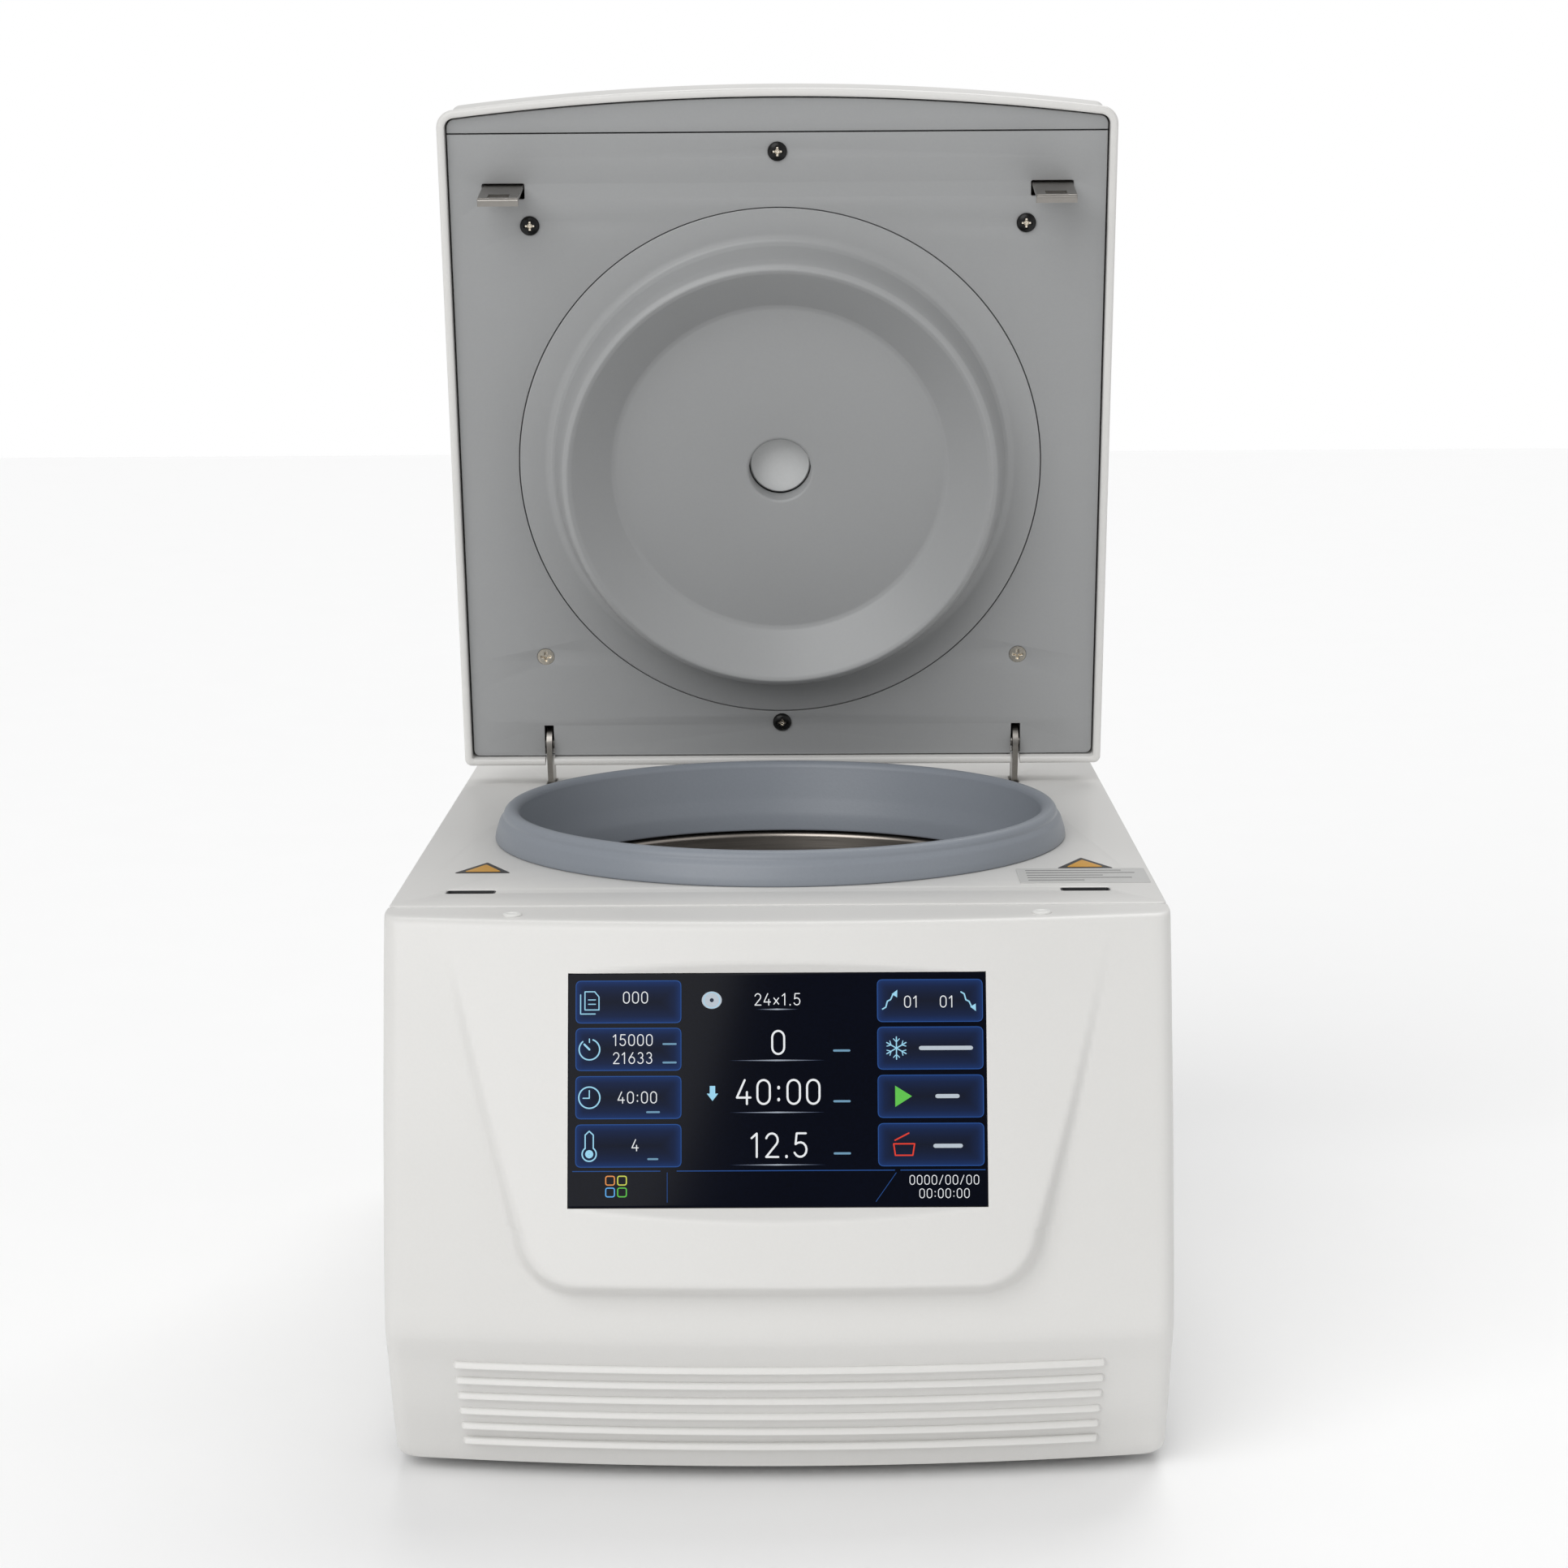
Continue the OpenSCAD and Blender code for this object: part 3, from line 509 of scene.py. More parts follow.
def chamber():
    """The soft ring on the deck and the steel bowl under it."""
    gasket_top = [(113.5 + 3.5 * math.cos(math.radians(a)), 10 + 3.5 * math.sin(math.radians(a)))
                  for a in range(0, 181, 20)]
    round_on_deck("gasket_ring", [(120.6, 0), (120.2, 3), (118.6, 8)] + gasket_top
                  + [(109.2, 6), (107.4, -3), (105.6, -10), (104.6, -17.5), (107.6, -17.5), (109, -10), (114.8, 0)],
                  1.2, "blue_rubber", ["bowl_gasket"])
    round_on_deck("bowl_wall", [(126.4, -6), (126.4, -7.5), (113.4, -7.5), (113.4, -18), (105.7, -20), (105.7, -109),
                                (102, -118), (93, -121.6), (24, -121.6), (24, -120), (92.5, -120), (101, -116.8),
                                (104.2, -109), (104.2, -18.7), (111.9, -16.7), (111.9, -6)],
                  1.5, "bowl_steel", ["bowl_wall", "bowl_floor"])


def labels():
    """Plain triangles, the grey label with its bars, and the two rest pads."""
    for i, (x, y) in enumerate([(-118.2, 66.8), (122.4, 70.7)]):
        for part, grow, lift, finish in (("edge", 0, 0.0, "label_black"), ("face", 2.3, 0.12, "label_yellow")):
            corners = [(-11.2 + 1.7 * grow, grow), (11.2 - 1.7 * grow, grow), (0, 22.5 - 2.2 * grow)]
            loop = fillet(corners, 1.2)
            m = plate([loop], 0.2, 0.04, lambda a, b, c: deck(a + x, b + y, c + lift))
            o = piece(f"triangle_{i + 1}_{part}", m, "label_yellow", "cabinet", finish=finish)
            if i == 0 and part == "face":
                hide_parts("warning_triangles")
    m = plate([rounded_box(94.5, 40, 145.5, 69.5, 1)], 0.3, 0.05, lambda a, b, c: deck(a, b, c))
    piece("plain_label", m, "label_grey", "cabinet", ["grey_label"])
    bars = []
    for row, (start, end) in enumerate([(98, 136), (98, 141), (98, 128), (98, 139), (98, 120)]):
        bars.append(rounded_box(start, 64.2 - 5 * row, end, 65.6 - 5 * row, 0.4))
    m = plate(bars, 0.08, 0.01, lambda a, b, c: deck(a, b, c + 0.28))
    piece("plain_label_bars", m, "label_grey", "cabinet", finish="label_ink")
    for i, x in enumerate([-99, 99]):
        profile = [(0.01, 0.62), (1.4, 0.6), (1.7, 0.75), (2.2, 0.95), (3.1, 0.9), (3.6, 0.5), (3.7, -0.05),
                   (0.01, -0.05)]
        m = lathe(fillet(profile, 0.3, 3, closed=False),
                  lambda a, b, h: deck(a + x, b - 15.7, h - 0.4), 64, closed=False)
        o = piece(f"rest_pad_{i + 1}", m, "pad_white", "cabinet")
        if i == 0:
            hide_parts("pad_buttons")


# ---- outer panels ----
def outer_panels():
    """Side and rear panels with their vents; the rear one opens for the inlet and the switch."""
    top, bottom, rim = -3.1, FLOOR + 3, 3.1
    vents = [(310, FLOOR + 34 + 9 * i, 385, FLOOR + 38 + 9 * i) for i in range(9)]
    for name, side in (("left_side_panel", -1), ("right_side_panel", 1)):
        loops = [rounded_box(SEAM, bottom, DEPTH - 2.2, top, 1)] + [rounded_box(*v, 1.9) for v in vents]
        m = plate(loops, 2, 0.4, lambda a, b, c: deck(side * (HALF - 2 + c), a, b))
        piece(name + "_skin", m, "white_paint", "cabinet", [name])
    loops = [rounded_box(-HALF, FLOOR, HALF, top, 1.5)]
    loops += [rounded_box(10, FLOOR + 28 + 9 * i, 120, FLOOR + 32 + 9 * i, 1.9) for i in range(12)]
    for low, high in (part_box("power_inlet"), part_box("switch_frame")):
        loops.append(rounded_box(low.x / MM + rim, (low.z - DECK) / MM + rim,
                                 high.x / MM - rim, (high.z - DECK) / MM - rim, 0.5))
    m = plate(loops, 2, 0.4, lambda a, b, c: deck(a, DEPTH - 2 + c, b))
    piece("rear_panel_skin", m, "white_paint", "cabinet", ["rear_panel"])


# ---- display ----
def screen(u, v, out=0.0):
    """A point on the display: right and up from its middle, and out from the glass."""
    up = Vector((0, math.sin(LEAN), math.cos(LEAN)))
    front = Vector((0, -math.cos(LEAN), math.sin(LEAN)))
    return deck(0, SCREEN_Y, SCREEN_Z) + Vector((u * MM, 0, 0)) + up * v * MM + front * out * MM


def glass():
    """The display's glass, flush with its window."""
    m = plate([rounded_box(-SCREEN_W, -SCREEN_H, SCREEN_W, SCREEN_H, 0.8)], GLASS_T, 0.15,
              lambda u, v, w: screen(u, v, w - GLASS_T))
    piece("screen_panel", m, "screen_glass", "cabinet", ["touch_glass"])


SHEETS = {}  # one sheet of faces for each colour shown on the display


def ui(key):
    """The sheet of one colour, made when first asked for."""
    if key not in SHEETS:
        b = bmesh.new()
        b.loops.layers.uv.new("share")
        SHEETS[key] = b
    return SHEETS[key]


def ui_face(key, points, lift=0.1, shares=None):
    """A flat face on the display, with each corner's share of the rim colour."""
    b = ui(key)
    layer = b.loops.layers.uv["share"]
    vs = [b.verts.new(screen(u, v, lift)) for u, v in points]
    f = b.faces.new(vs)
    f.normal_update()
    if f.normal.y > 0:
        f.normal_flip()
    for loop in f.loops:
        k = vs.index(loop.vert)
        loop[layer].uv = ((shares[k] if shares else 0), 0.5)


def ui_line(key, points, width, closed=False, lift=0.1):
    """A stroke through points, round at its joints unless it is very thin."""
    pts = [Vector(p) for p in points]
    pairs = list(zip(range(len(pts) - 1), range(1, len(pts)))) + ([(len(pts) - 1, 0)] if closed else [])
    for i, j in pairs:
        a, b = pts[i], pts[j]
        if (b - a).length < 1e-6:
            continue
        side = Vector((-(b - a).y, (b - a).x)).normalized() * width / 2
        ui_face(key, [a + side, b + side, b - side, a - side], lift)
    if width > 0.25:
        turns = [k * math.pi / 4 for k in range(8)]
        for p in pts:
            rim = [(p.x + width / 2 * math.cos(a), p.y + width / 2 * math.sin(a)) for a in turns]
            ui_face(key, rim, lift + 0.004)


def ui_ring(key, u, v, r, width, start=0, end=360, lift=0.1):
    """A circular stroke, or part of one, between two angles."""
    n = max(12, int((end - start) / 10))
    pts = [(u + r * math.cos(math.radians(start + (end - start) * k / n)),
            v + r * math.sin(math.radians(start + (end - start) * k / n))) for k in range(n + 1)]
    ui_line(key, pts, width, lift=lift)


def arc(u, v, ru, rv, start, end, steps=10):
    """Points along part of an ellipse."""
    return [(u + ru * math.cos(math.radians(start + (end - start) * k / steps)),
             v + rv * math.sin(math.radians(start + (end - start) * k / steps))) for k in range(steps + 1)]


# strokes of each sign in a cell one unit tall, with the cell's width first
SIGNS = {
    "0": (0.62, [arc(0.31, 0.71, 0.26, 0.29, 0, 180) + arc(0.31, 0.29, 0.26, 0.29, 180, 360) + [(0.57, 0.71)]]),
    "1": (0.42, [[(0.04, 0.8), (0.26, 1), (0.26, 0)]]),
    "2": (0.6, [arc(0.29, 0.72, 0.25, 0.28, 165, -35) + [(0.04, 0), (0.56, 0)]]),
    "3": (0.6, [arc(0.28, 0.75, 0.22, 0.25, 150, -80) + arc(0.28, 0.27, 0.26, 0.27, 80, -155)]),
    "4": (0.64, [[(0.45, 0), (0.45, 0.5)], [(0.36, 1), (0.03, 0.27), (0.6, 0.27)]]),
    "5": (0.6, [[(0.52, 1), (0.13, 1), (0.08, 0.54)] + arc(0.28, 0.31, 0.27, 0.31, 110, -155)]),
    "6": (0.62, [[(0.42, 1), (0.1, 0.48)] + arc(0.31, 0.3, 0.26, 0.3, 150, 510, 18)]),
    ":": (0.24, [[(0.12, 0.7), (0.12, 0.66)], [(0.12, 0.2), (0.12, 0.16)]]),
    ".": (0.22, [[(0.11, 0.03), (0.11, 0.0)]]),
    "/": (0.5, [[(0.04, 0), (0.44, 1)]]),
    "x": (0.56, [[(0.06, 0.08), (0.48, 0.62)], [(0.06, 0.62), (0.48, 0.08)]]),
}


def ui_text(key, body, u, v, height, weight=0.085, gap=0.2):
    """Plain numbers drawn in strokes, centred on a point of the display."""
    width = sum(SIGNS[c][0] + gap for c in body) - gap
    at = -width / 2
    for c in body:
        cell, strokes = SIGNS[c]
        for stroke in strokes:
            wide = weight * (1.35 if c in ":." else 1)
            ui_line(key, [(u + (at + x) * height, v + (y - 0.5) * height) for x, y in stroke], wide * height)
        at += cell + gap


def ui_tile(u, v):
    """One rounded tile, dark in the middle and glowing towards its rim."""
    w, h = 19.4, 7.75
    rings = [(0, 1.0), (1.0, 0.62), (2.4, 0.3), (5, 0.1), (7.6, 0.0)]
    loops = [rounded_box(u - w + i, v - h + i, u + w - i, v + h - i, max(0.1, 2 - i * 0.25)) for i, _ in rings]
    for (i, s), (j, t), a, b in zip(rings, rings[1:], loops, loops[1:]):
        for k in range(len(a)):
            n = (k + 1) % len(a)
            ui_face("tile", [a[k], a[n], b[n], b[k]], 0.04, [s, s, t, t])
    ui_face("tile", loops[-1], 0.04, [0] * len(loops[-1]))
    ui_line("edge", loops[0], 0.28, closed=True, lift=0.07)


def underline(v, half):
    """A bar that glows in its middle and tapers to nothing at its ends."""
    ui_face("glow", [(-half, v), (0, v - 0.22), (half, v), (0, v + 0.22)], 0.1, [0, 1, 0, 1])


def interface():
    """Everything the display shows: tiles, plain signs, numbers and bars."""
    rows = [32.5, 15.0, -2.7, -20.4]
    for v in rows:
        ui_tile(-54.9, v)
        ui_tile(56.5, v)
    # left tiles
    u, v = -69.0, rows[0] - 0.1
    ui_line("ice", [(u - 2, v - 2.8), (u + 3.2, v - 2.8), (u + 3.2, v + 2), (u + 1.6, v + 3.9), (u - 2, v + 3.9)],
            0.4, closed=True)
    ui_line("ice", [(u - 3.6, v + 2.8), (u - 3.6, v - 4.3), (u + 1.8, v - 4.3)], 0.4)
    for dv in (0.9, -0.7):
        ui_line("ice", [(u - 0.7, v + dv), (u + 1.9, v + dv)], 0.36)
    ui_text("white", "000", -52.3, 34.1, 4.1)
    ui_ring("ice", -69.3, rows[1], 3.8, 0.5, -230, 70)
    ui_line("ice", [(-69.3, rows[1]), (-71.2, rows[1] + 1.9)], 0.7)
    ui_line("ice", [(-69.3, rows[1] + 3.9), (-69.3, rows[1] + 2.6)], 0.4)
    ui_text("white", "15000", -53.3, 18.4, 4.0)
    ui_text("white", "21633", -53.3, 11.8, 4.0)
    for v in (16.9, 10.1):
        ui_line("dim", [(-42, v), (-37.4, v)], 0.7)
    ui_ring("ice", -69.3, rows[2], 3.9, 0.5)
    ui_line("ice", [(-69.3, rows[2] + 2.6), (-69.3, rows[2] - 0.2), (-71.6, rows[2] - 0.2)], 0.42)
    ui_text("white", "40:00", -51.6, -2.7, 4.1)
    ui_line("dim", [(-48, -8.1), (-43.6, -8.1)], 0.7)
    ui_ring("ice", -69.3, rows[3] - 3, 2.6, 0.5, 125, 415)
    ui_line("ice", [(-70.8, rows[3] - 0.9), (-70.8, rows[3] + 4), (-69.3, rows[3] + 5.4), (-67.8, rows[3] + 4),
                    (-67.8, rows[3] - 0.9)], 0.45)
    ui_ring("ice", -69.3, rows[3] - 3, 0.8, 1.4)
    ui_text("white", "4", -52.4, -20.2, 4.1)
    ui_line("dim", [(-47.6, -25.3), (-44.2, -25.3)], 0.7)
    # right tiles
    for s, u in ((1, 41.8), (-1, 70.8)):
        pts = [(-2.8, -3.1), (-1.6, -2.4), (-1, -0.2), (0.2, 0.4), (1, 2.2), (1.9, 2.6)]
        ui_line("ice", [(u + a, rows[0] + s * b) for a, b in pts], 0.5)
        head = [(u + 0.6, rows[0] + s * 2.4), (u + 2.7, rows[0] + s * 4), (u + 2.6, rows[0] + s * 1.2)]
        ui_face("ice", head[::s])
    ui_text("white", "01", 49.5, 32.1, 4.1)
    ui_text("white", "01", 62.7, 32.1, 4.1)
    for k in range(6):
        a = math.radians(60 * k + 30)
        d, n = Vector((math.cos(a), math.sin(a))), Vector((-math.sin(a), math.cos(a)))
        c = Vector((44, rows[1]))
        ui_line("ice", [c, c + d * 4.1], 0.42)
        for s in (-1, 1):
            ui_line("ice", [c + d * 2.3, c + d * 3.4 + n * s * 1.1], 0.34)
    ui_line("pale", [(53, rows[1]), (71.5, rows[1])], 1.5)
    ui_face("green", [(43.4, rows[2] - 3.9), (49.6, rows[2]), (43.4, rows[2] + 3.9)])
    ui_line("pale", [(58.9, rows[2]), (66.4, rows[2])], 1.5)
    ui_line("red", [(42.7, rows[3] + 0.3), (50.4, rows[3] + 0.3), (49.7, rows[3] - 3.9), (43.3, rows[3] - 3.9)],
            0.5, closed=True)
    ui_line("red", [(43.2, rows[3] + 1.6), (48.3, rows[3] + 4.2)], 0.5)
    ui_line("pale", [(58, rows[3] - 0.5), (67.4, rows[3] - 0.5)], 1.5)
    # middle
    ui_face("pale", [(-24.1 + 3.7 * math.cos(k * math.pi / 16), 33 + 3.2 * math.sin(k * math.pi / 16))
                     for k in range(32)], 0.06)
    ui_ring("ice", -24.1, 33, 2.9, 0.25)
    ui_ring("dark", -24.1, 33, 0.4, 0.7, lift=0.14)
    ui_text("white", "24x1.5", 0.2, 33.2, 4.2)
    ui_text("white", "0", 0.4, 17.3, 8.5)
    ui_text("white", "40:00", 0.4, -0.9, 8.8)
    ui_text("white", "12.5", 0.6, -20.4, 8.6)
    underline(29.5, 8)
    for v in (10.7, -8.4, -27.6):
        underline(v, 18)
    for v in (14.2, -4.4, -23.5):
        ui_line("dim", [(21, v), (26.6, v)], 0.8)
    ui_face("ice", [(-24.9, 1.4), (-22.9, 1.4), (-22.9, -1.6), (-24.9, -1.6)])
    ui_face("ice", [(-26, -1.4), (-21.8, -1.4), (-23.9, -4.1)])
    # foot of the screen
    for a, b in ((-75.4, -43.2), (-37, 43), (45.2, 76.2)):
        ui_line("edge", [(a, -29.7), (b, -29.7)], 0.3)
    ui_line("edge", [(36, -41.2), (43.6, -30.6)], 0.2)
    ui_line("edge", [(-40.6, -30.2), (-40.6, -41.2)], 0.2)
    for key, u, v in (("orange", -61.6, -33.1), ("yellow", -57.2, -33.1),
                      ("sky", -61.6, -37.4), ("green", -57.2, -37.4)):
        ui_line(key, rounded_box(u - 1.6, v - 1.6, u + 1.6, v + 1.6, 0.8), 0.42, closed=True)
    ui_text("white", "0000/00/00", 61.2, -33.3, 3.3)
    ui_text("white", "00:00:00", 61.2, -38.2, 3.3)
    looks = {
        "tile": glowing("screen_tile", (0.001, 0.002, 0.009), (0.005, 0.026, 0.12)),
        "edge": glowing("screen_edge", (0.018, 0.08, 0.3)),
        "glow": glowing("screen_underline", (0.01, 0.03, 0.1), (0.85, 0.92, 1.0)),
        "white": glowing("screen_white", (0.86, 0.88, 0.9)),
        "pale": glowing("screen_pale", (0.5, 0.56, 0.62)),
        "ice": glowing("screen_ice", (0.34, 0.68, 0.88)),
        "dim": glowing("screen_dim", (0.16, 0.32, 0.46)),
        "dark": glowing("screen_dark", (0.02, 0.03, 0.05)),
        "green": glowing("screen_green", (0.12, 0.55, 0.07)),
        "red": glowing("screen_red", (0.8, 0.05, 0.02)),
        "orange": glowing("screen_orange", (0.8, 0.3, 0.08)),
        "yellow": glowing("screen_yellow", (0.65, 0.7, 0.1)),
        "sky": glowing("screen_sky", (0.12, 0.42, 0.85)),
    }
    for key, b in SHEETS.items():
        m = bpy.data.meshes.new("screen_" + key)
        b.to_mesh(m)
        b.free()
        FINISHES["ui_" + key] = looks[key]
        piece("screen_" + key, m, "screen_glass", "cabinet", finish="ui_" + key)


# ---- lid ----
HINGE = next(j for j in frame["joints"] if j["name"] == "lid_hinge")
PIVOT = Vector(HINGE["pos_m"])
OPEN = math.radians(77.8)
FORWARD = Vector((0, -math.cos(OPEN), math.sin(OPEN)))
AWAY = Vector((0, math.sin(OPEN), math.cos(OPEN)))
LID_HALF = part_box("lid_shell")[1].x / MM
LID_LEN, LID_T, LID_BOW = 310.3, 36, 1150
SIGHT = 142.1  # how far forward of the rear edge the sight disc is
CREASE = 291.2  # how far forward the liner bends
LID_ZERO = PIVOT - FORWARD * 8.5 * MM - AWAY * 8.2 * MM


def lid(x, s, w):
    """A point on the open lid: across, forward from its rear edge, and away from the rim's face."""
    return LID_ZERO + Vector((x * MM, 0, 0)) + FORWARD * s * MM + AWAY * w * MM


def lid_outline(inset, rear=3):
    """The lid's outline, moved in by an inset: straight sides, rounded corners and a bowed front edge."""
    r, bow = max(1.5, 8 - inset), LID_BOW - inset
    cx, cy = LID_HALF - inset - r, LID_LEN - LID_BOW
    sy = cy + math.sqrt((bow - r) ** 2 - cx * cx)
    turn = math.degrees(math.asin(cx / (bow - r)))
    rr = max(0.4, rear - inset * 0.5)
    xr = LID_HALF - inset - rr
    pts = [(xr + rr * math.sin(math.radians(a)), inset + rr - rr * math.cos(math.radians(a)))
           for a in range(0, 91, 15)]
    pts += [(LID_HALF - inset, inset + rr + (sy - inset - rr) * k / 20) for k in range(1, 20)]
    for k in range(11):
        a = math.radians((90 - turn) * k / 10)
        pts.append((cx + r * math.cos(a), sy + r * math.sin(a)))
    for k in range(1, 31):
        a = math.radians(turn * (1 - k / 30))
        pts.append((bow * math.sin(a), cy + bow * math.cos(a)))
    return pts + [(-x, s) for x, s in pts[::-1][1:]]


def lid_shell():
    """The white case, with drafted sides, a rounded top, hinge slots and the sight's bore."""
    section = [(3.5, 33), (3.5, 1.0), (3.3, 0.35), (2.8, 0.05), (2.2, 0), (1.4, 0.05), (0.7, 0.35), (0.2, 0.9),
               (0, 1.8), (1.7, 12), (3.9, 25)]
    for a in range(10, 91, 10):
        section.append((14.9 - 11 * math.cos(math.radians(a)), 25 + 11 * math.sin(math.radians(a))))
    rows = [[lid(x, s, w) for x, s in lid_outline(inset)] for inset, w in section]
    m = skin(rows, closed=True, caps=True)
    o = piece("lid_case", m, "white_plastic", "lid", ["lid_shell"])
    cutters = [block((k * ARM_X - 2.1, -1, -1), (k * ARM_X + 2.1, 5, 20.5), lid) for k in (-1, 1)]
    hole = [(0.0, LID_T - 12), (13.7, LID_T - 12), (13.7, LID_T + 5), (0.0, LID_T + 5)]
    cutters.append(lathe(hole, lambda x, y, h: lid(x, SIGHT + y, h), 96))
    cut(o, cutters)


def clip(points, limit, keep_below):
    """The part of an outline on one side of a line across the lid."""
    out = []
    for a, b in zip(points, points[1:] + points[:1]):
        ka, kb = (a[1] <= limit) == keep_below, (b[1] <= limit) == keep_below
        if ka:
            out.append(a)
        if ka != kb:
            t = (limit - a[1]) / (b[1] - a[1])
            out.append((a[0] + (b[0] - a[0]) * t, limit))
    return out


def lid_liner():
    """The grey liner, and its strip beyond the crease."""
    edge = lid_outline(4.3, 5)
    loops = [clip(edge, CREASE - 0.3, True), circle(0, SIGHT, 116.6, 200)]
    for k in (-1, 1):
        loops.append(rounded_box(k * SLOT_X - 9.2, 262.8, k * SLOT_X + 9.2, 269.6, 0.8))
        loops.append(rounded_box(k * ARM_X - 2.1, 5, k * ARM_X + 2.1, 19, 0.4))
        loops.append(circle(k * 108, 251.2, 2.2, 24))
        loops.append(circle(k * 107.7, 52.6, 3.95, 40))
    for s in (282.9, 20.3):
        loops.append(circle(0, s, 2.2, 24))
    m = plate(loops, 1.6, 0.25, lambda x, s, w: lid(x, s, 4.4 - w))
    piece("lid_panel", m, "grey_plastic", "lid", ["lid_liner"])
    m = plate([clip(edge, CREASE + 0.3, False)], 1.6, 0.3,
              lambda x, s, w: lid(x, s, 4.5 - w - (s - CREASE) * 0.075))
    piece("lid_panel_front", m, "grey_plastic", "lid")


def on_lid(x0, s0):
    """A placing function centred on a point of the lid."""
    return lambda x, y, h: lid(x0 + x, s0 + y, h)


def lid_insert():
    """The turned dish in the middle of the liner and the sight disc in its bore."""
    dish = [(116.2, 2.8), (104.5, 2.8), (101.8, 1.8), (100.2, -1), (97.6, -14), (96.2, -18), (94, -19.7), (92, -18.9),
            (75, -4.1), (73, -3.5), (13.8, -3.5), (13.8, 8), (15.6, 8), (15.6, -1.5), (72.2, -1.5), (92.8, -16.4),
            (94.6, -13), (97, -1), (98.4, 4.4), (116.2, 4.4)]
    m = lathe(fillet(dish, 1.6, 5), on_lid(0, SIGHT), 256)
    piece("lid_dish", m, "grey_plastic", "lid", ["lid_insert"], crease=60)
    lens = [(0.01, 8.1), (12.9, 8.1), (13.5, 8.7), (13.5, 35.3), (12.9, 36), (0.01, 36)]
    m = lathe(lens, on_lid(0, SIGHT), 96, closed=False)
    piece("sight_disc", m, "sight_clear", "lid", ["sight_glass"])


def screw_head(radius, proud, sunk, slot_half, place):
    """A cross-recessed screw head: a fine round grid whose height dips along the cross."""
    rings, count, reach = 26, 96, radius * 0.62
    turns = [2 * math.pi * i / count for i in range(count)]
    rows = []
    for j in range(rings + 1):
        r = radius * j / rings
        row = []
        for a in turns:
            x, y = r * math.cos(a), r * math.sin(a)
            dome = proud * math.sqrt(max(0, 1 - (r / radius) ** 2 * 0.92)) if proud else 0
            arm = max(slot_half * (1 - 0.35 * r / reach), 0.1)
            near = min(abs(x), abs(y))
            t = min(1, max(0, (arm + 0.22 - near) / 0.3)) * min(1, max(0, (reach - r) / 0.3))
            core = min(1, max(0, (radius * 0.3 - r) / 0.4))
            row.append(place(x, y, -dome + sunk * max(t * 0.8, core)))
        rows.append(row)
    rows.append([place(radius * math.cos(a), radius * math.sin(a), 0.3) for a in turns])
    return skin(rows, closed=True)


def screws():
    """Four black pan heads with a bright recess, and two nickel heads level with the liner."""
    spots = [(0, 282.9), (108, 251.2), (-108, 251.2), (0, 20.3)]
    for i, (x, s) in enumerate(spots):
        place = on_lid(x, s)
        m = screw_head(4.2, 2.2, 1.9, 0.5, lambda a, b, h: place(a, b, 2.8 + h))
        o = piece(f"liner_screw_{i + 1}", m, "screw_black", "lid", crease=50)
        m = screw_head(2.0, 0.0, 0.5, 0.4, lambda a, b, h: place(a, b, 2.8 - 0.95 + h))
        piece(f"liner_screw_{i + 1}_driver", m, "screw_black", "lid", finish="screw_nickel", crease=50)
        if i == 0:
            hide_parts("lid_screws_black")
    for i, (x, s) in enumerate([(107.7, 52.6), (-107.7, 52.6)]):
        place = on_lid(x, s)
        m = screw_head(3.8, 0.0, 1.2, 0.45, lambda a, b, h: place(a, b, 2.85 + h))
        o = piece(f"panel_screw_{i + 1}", m, "screw_nickel", "lid", crease=50)
        if i == 0:
            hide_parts("lid_screws_nickel")


def hooks():
    """Bent sheet hooks: a strap, a turned lip and a window."""
    path = fillet([(257, 30), (267.2, 30), (268.15, 29), (268.15, -23.6), (267.7, -24.3), (265.4, -24.4)],
                  1.4, 5, closed=False)
    half_t = 0.72
    faces = [[], []]
    for i, (s, w) in enumerate(path):
        a, b = Vector(path[max(i - 1, 0)]), Vector(path[min(i + 1, len(path) - 1)])
        n = Vector((-(b - a).y, (b - a).x)).normalized() * half_t
        faces[0].append((s + n.x, w + n.y))
        faces[1].append((s - n.x, w - n.y))
    middle = [((a[0] + b[0]) / 2, (a[1] + b[1]) / 2) for a, b in zip(*faces)]
    for name, k in (("right", 1), ("left", -1)):
        rows = []
        for x in (-8.75, -8.55, 8.55, 8.75):
            thin = 0.75 if abs(x) > 8.6 else 1
            front, back = [[(c[0] + (p[0] - c[0]) * thin, c[1] + (p[1] - c[1]) * thin) for p, c in zip(face, middle)]
                           for face in faces]
            rows.append([lid(k * SLOT_X + x, s, w) for s, w in front + back[::-1]])
        o = piece(f"hook_{name}", skin(rows, closed=True, caps=True), "bracket_steel", "lid",
                  ["lid_hooks"] if k == 1 else ())
        cut(o, [block((k * SLOT_X - 4.6, 262, -22.5), (k * SLOT_X + 4.6, 272, -16.3), lid)])


# ---- CAD nodes that stay, with a finish of their own ----
SOFTENED = {"power_inlet": 0.4, "switch_frame": 0.4, "panel_screws": 0.2, "power_rocker": 0.3}


def cad_nodes():
    """Gives each remaining CAD node its finish, and a few of them softened edges."""
    for name, o in frame["nodes"].items():
        for s in o.material_slots:
            key = s.material.name.split(".")[0] if s.material else ""
            s.material = FINISHES.get(key, FINISHES["grey_plastic"])
        if name in SOFTENED:
            weld = o.modifiers.new("weld", "WELD")
            weld.merge_threshold = 1e-5
            soft = o.modifiers.new("edges", "BEVEL")
            soft.width, soft.segments, soft.limit_method = SOFTENED[name] * MM, 2, "ANGLE"
            soft.angle_limit, soft.harden_normals = math.radians(40), True


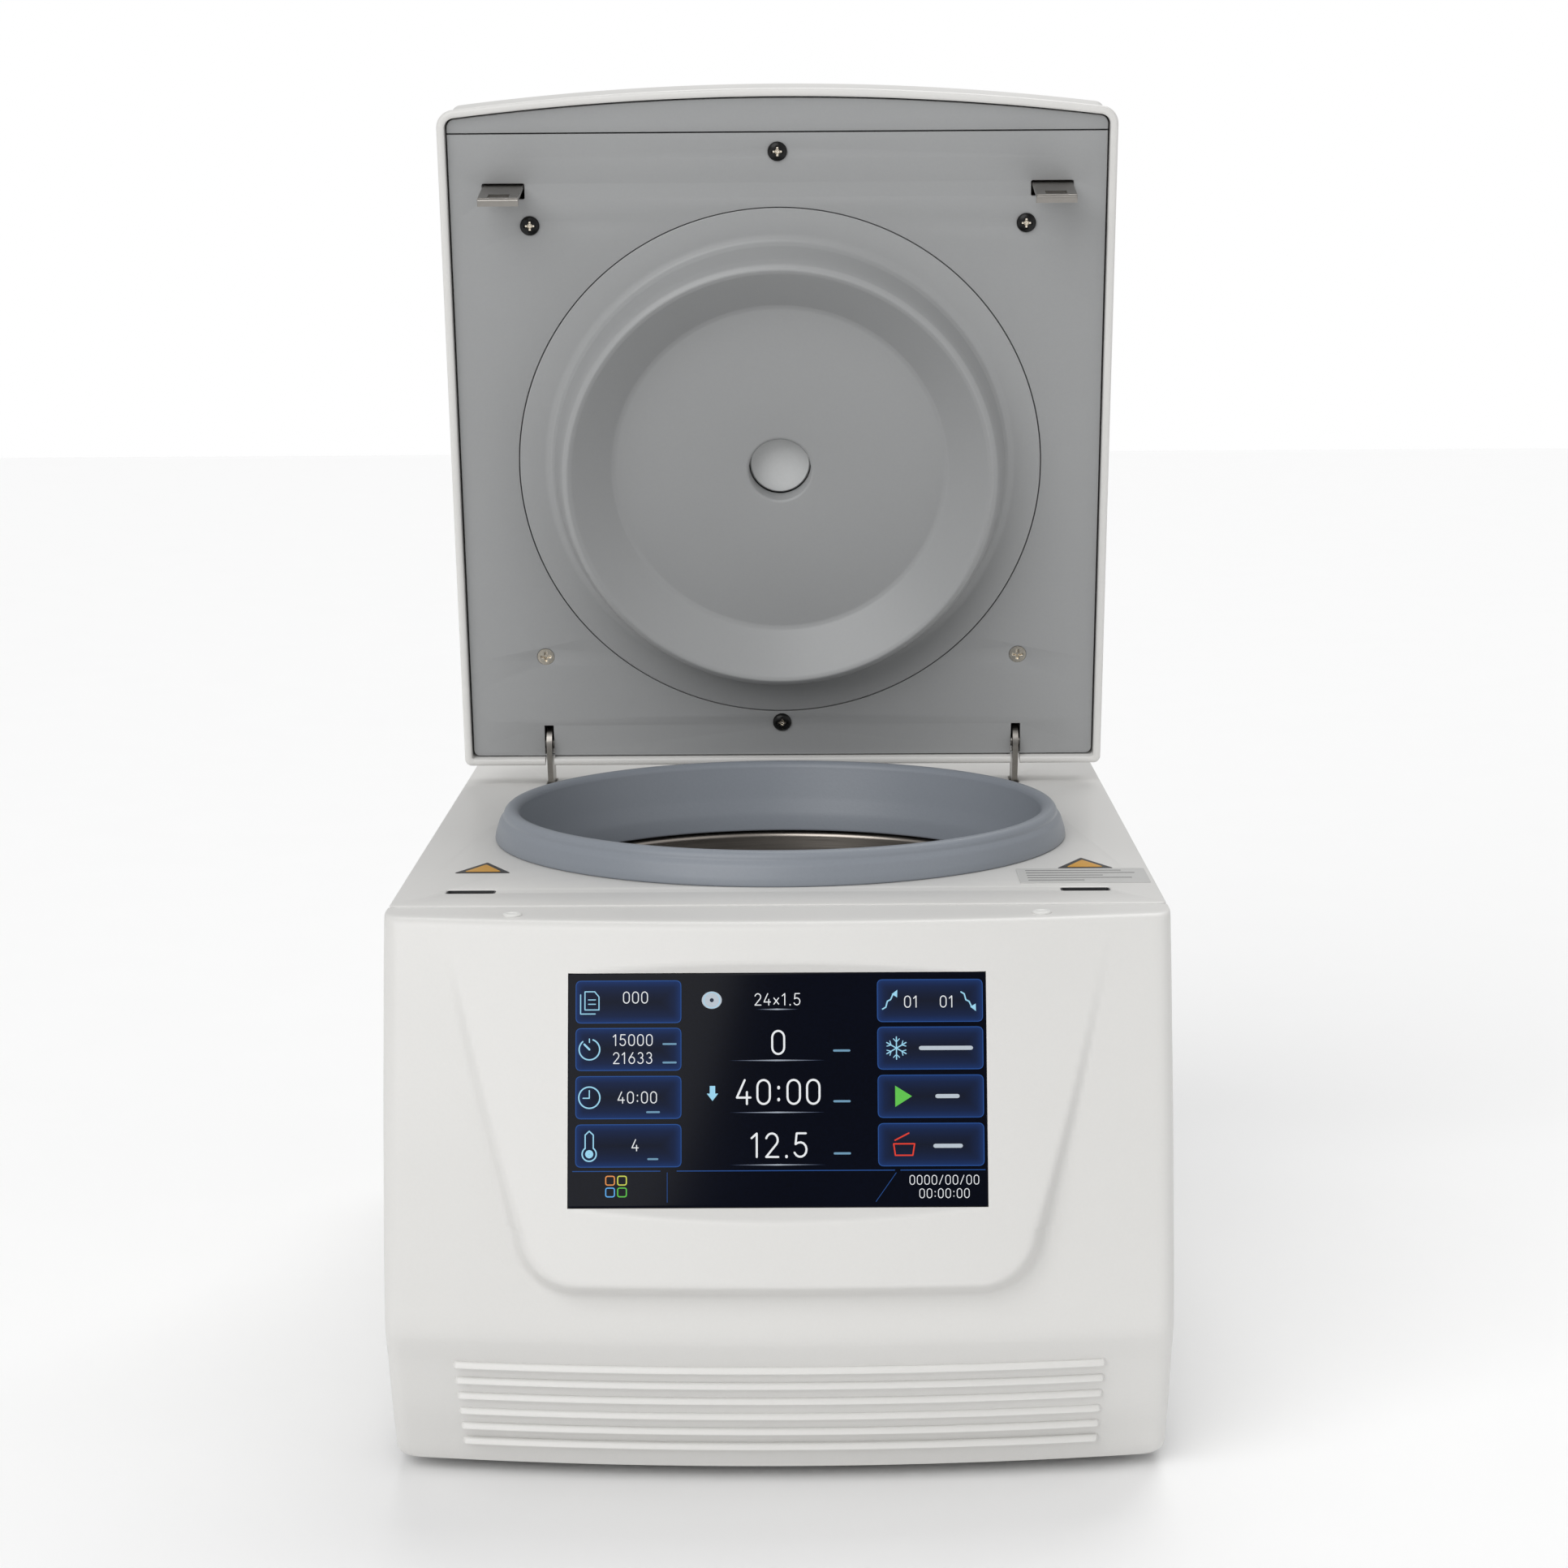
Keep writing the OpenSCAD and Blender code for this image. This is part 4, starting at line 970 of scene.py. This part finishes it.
# ---- studio ----
def studio():
    """A white world, a pale floor and three soft suns."""
    world = bpy.data.worlds.new("studio")
    bpy.context.scene.world = world
    world.use_nodes = True
    t = world.node_tree
    back = t.nodes["Background"]
    back.inputs["Color"].default_value = (1, 1, 1, 1)
    back.inputs["Strength"].default_value = 0.45
    seen = node(t, "ShaderNodeBackground", (0, -200), Strength=1.0)
    seen.inputs["Color"].default_value = (1, 1, 1, 1)
    path = node(t, "ShaderNodeLightPath", (-200, 300))
    mix = node(t, "ShaderNodeMixShader", (200, 0))
    t.links.new(path.outputs["Is Camera Ray"], mix.inputs[0])
    t.links.new(back.outputs[0], mix.inputs[1])
    t.links.new(seen.outputs[0], mix.inputs[2])
    t.links.new(mix.outputs[0], t.nodes["World Output"].inputs["Surface"])
    size, n = 6.0, 24
    pts = [(size * (2 * i / n - 1), size * (2 * j / n - 1), 0) for j in range(n + 1) for i in range(n + 1)]
    corners = [j * (n + 1) + i for j in range(n) for i in range(n)]
    floor = bpy.data.meshes.new("floor")
    floor.from_pydata(pts, [], [(c, c + 1, c + n + 2, c + n + 1) for c in corners])
    o = bpy.data.objects.new("floor", floor)
    bpy.context.scene.collection.objects.link(o)
    floor.materials.append(finish_of("floor_white", (0.92, 0.92, 0.92), 0.8, vary=0.005, bump=0.0))
    for name, turn, rise, spread, power in (
            ("key", -28, 34, 50, 1.55), ("behind", 165, 58, 40, 1.1), ("side", 60, 25, 60, 0.25)):
        lamp = bpy.data.lights.new(name, "SUN")
        lamp.angle, lamp.energy = math.radians(spread), power
        o = bpy.data.objects.new(name, lamp)
        bpy.context.scene.collection.objects.link(o)
        a, e = math.radians(turn), math.radians(rise)
        toward = Vector((math.sin(a) * math.cos(e), -math.cos(a) * math.cos(e), math.sin(e)))
        o.rotation_euler = toward.to_track_quat("Z", "Y").to_euler()


def camera():
    """The photograph's viewpoint."""
    pitch, yaw, roll = math.radians(9.27), math.radians(-0.45), math.radians(-0.38)
    data = bpy.data.cameras.new("view")
    data.sensor_width, data.lens = 36, 76.41
    data.clip_start, data.clip_end = 0.05, 40
    o = bpy.data.objects.new("view", data)
    bpy.context.scene.collection.objects.link(o)
    ahead = Vector((math.sin(yaw) * math.cos(pitch), math.cos(yaw) * math.cos(pitch), -math.sin(pitch)))
    right = Vector((math.cos(yaw), -math.sin(yaw), 0))
    up = right.cross(ahead)
    r = right * math.cos(roll) + up * math.sin(roll)
    u = up * math.cos(roll) - right * math.sin(roll)
    turn = Matrix((r, u, -ahead)).transposed().to_4x4()
    o.matrix_world = Matrix.Translation(deck(12.57, -1236.31, 248.12)) @ turn
    bpy.context.scene.camera = o


# ---- everything, in order ----
front_cover()
ribs()
top_cover()
chamber()
labels()
outer_panels()
glass()
interface()
lid_shell()
lid_liner()
lid_insert()
screws()
hooks()
cad_nodes()
studio()
camera()
bpy.context.scene.view_settings.view_transform = "Standard"
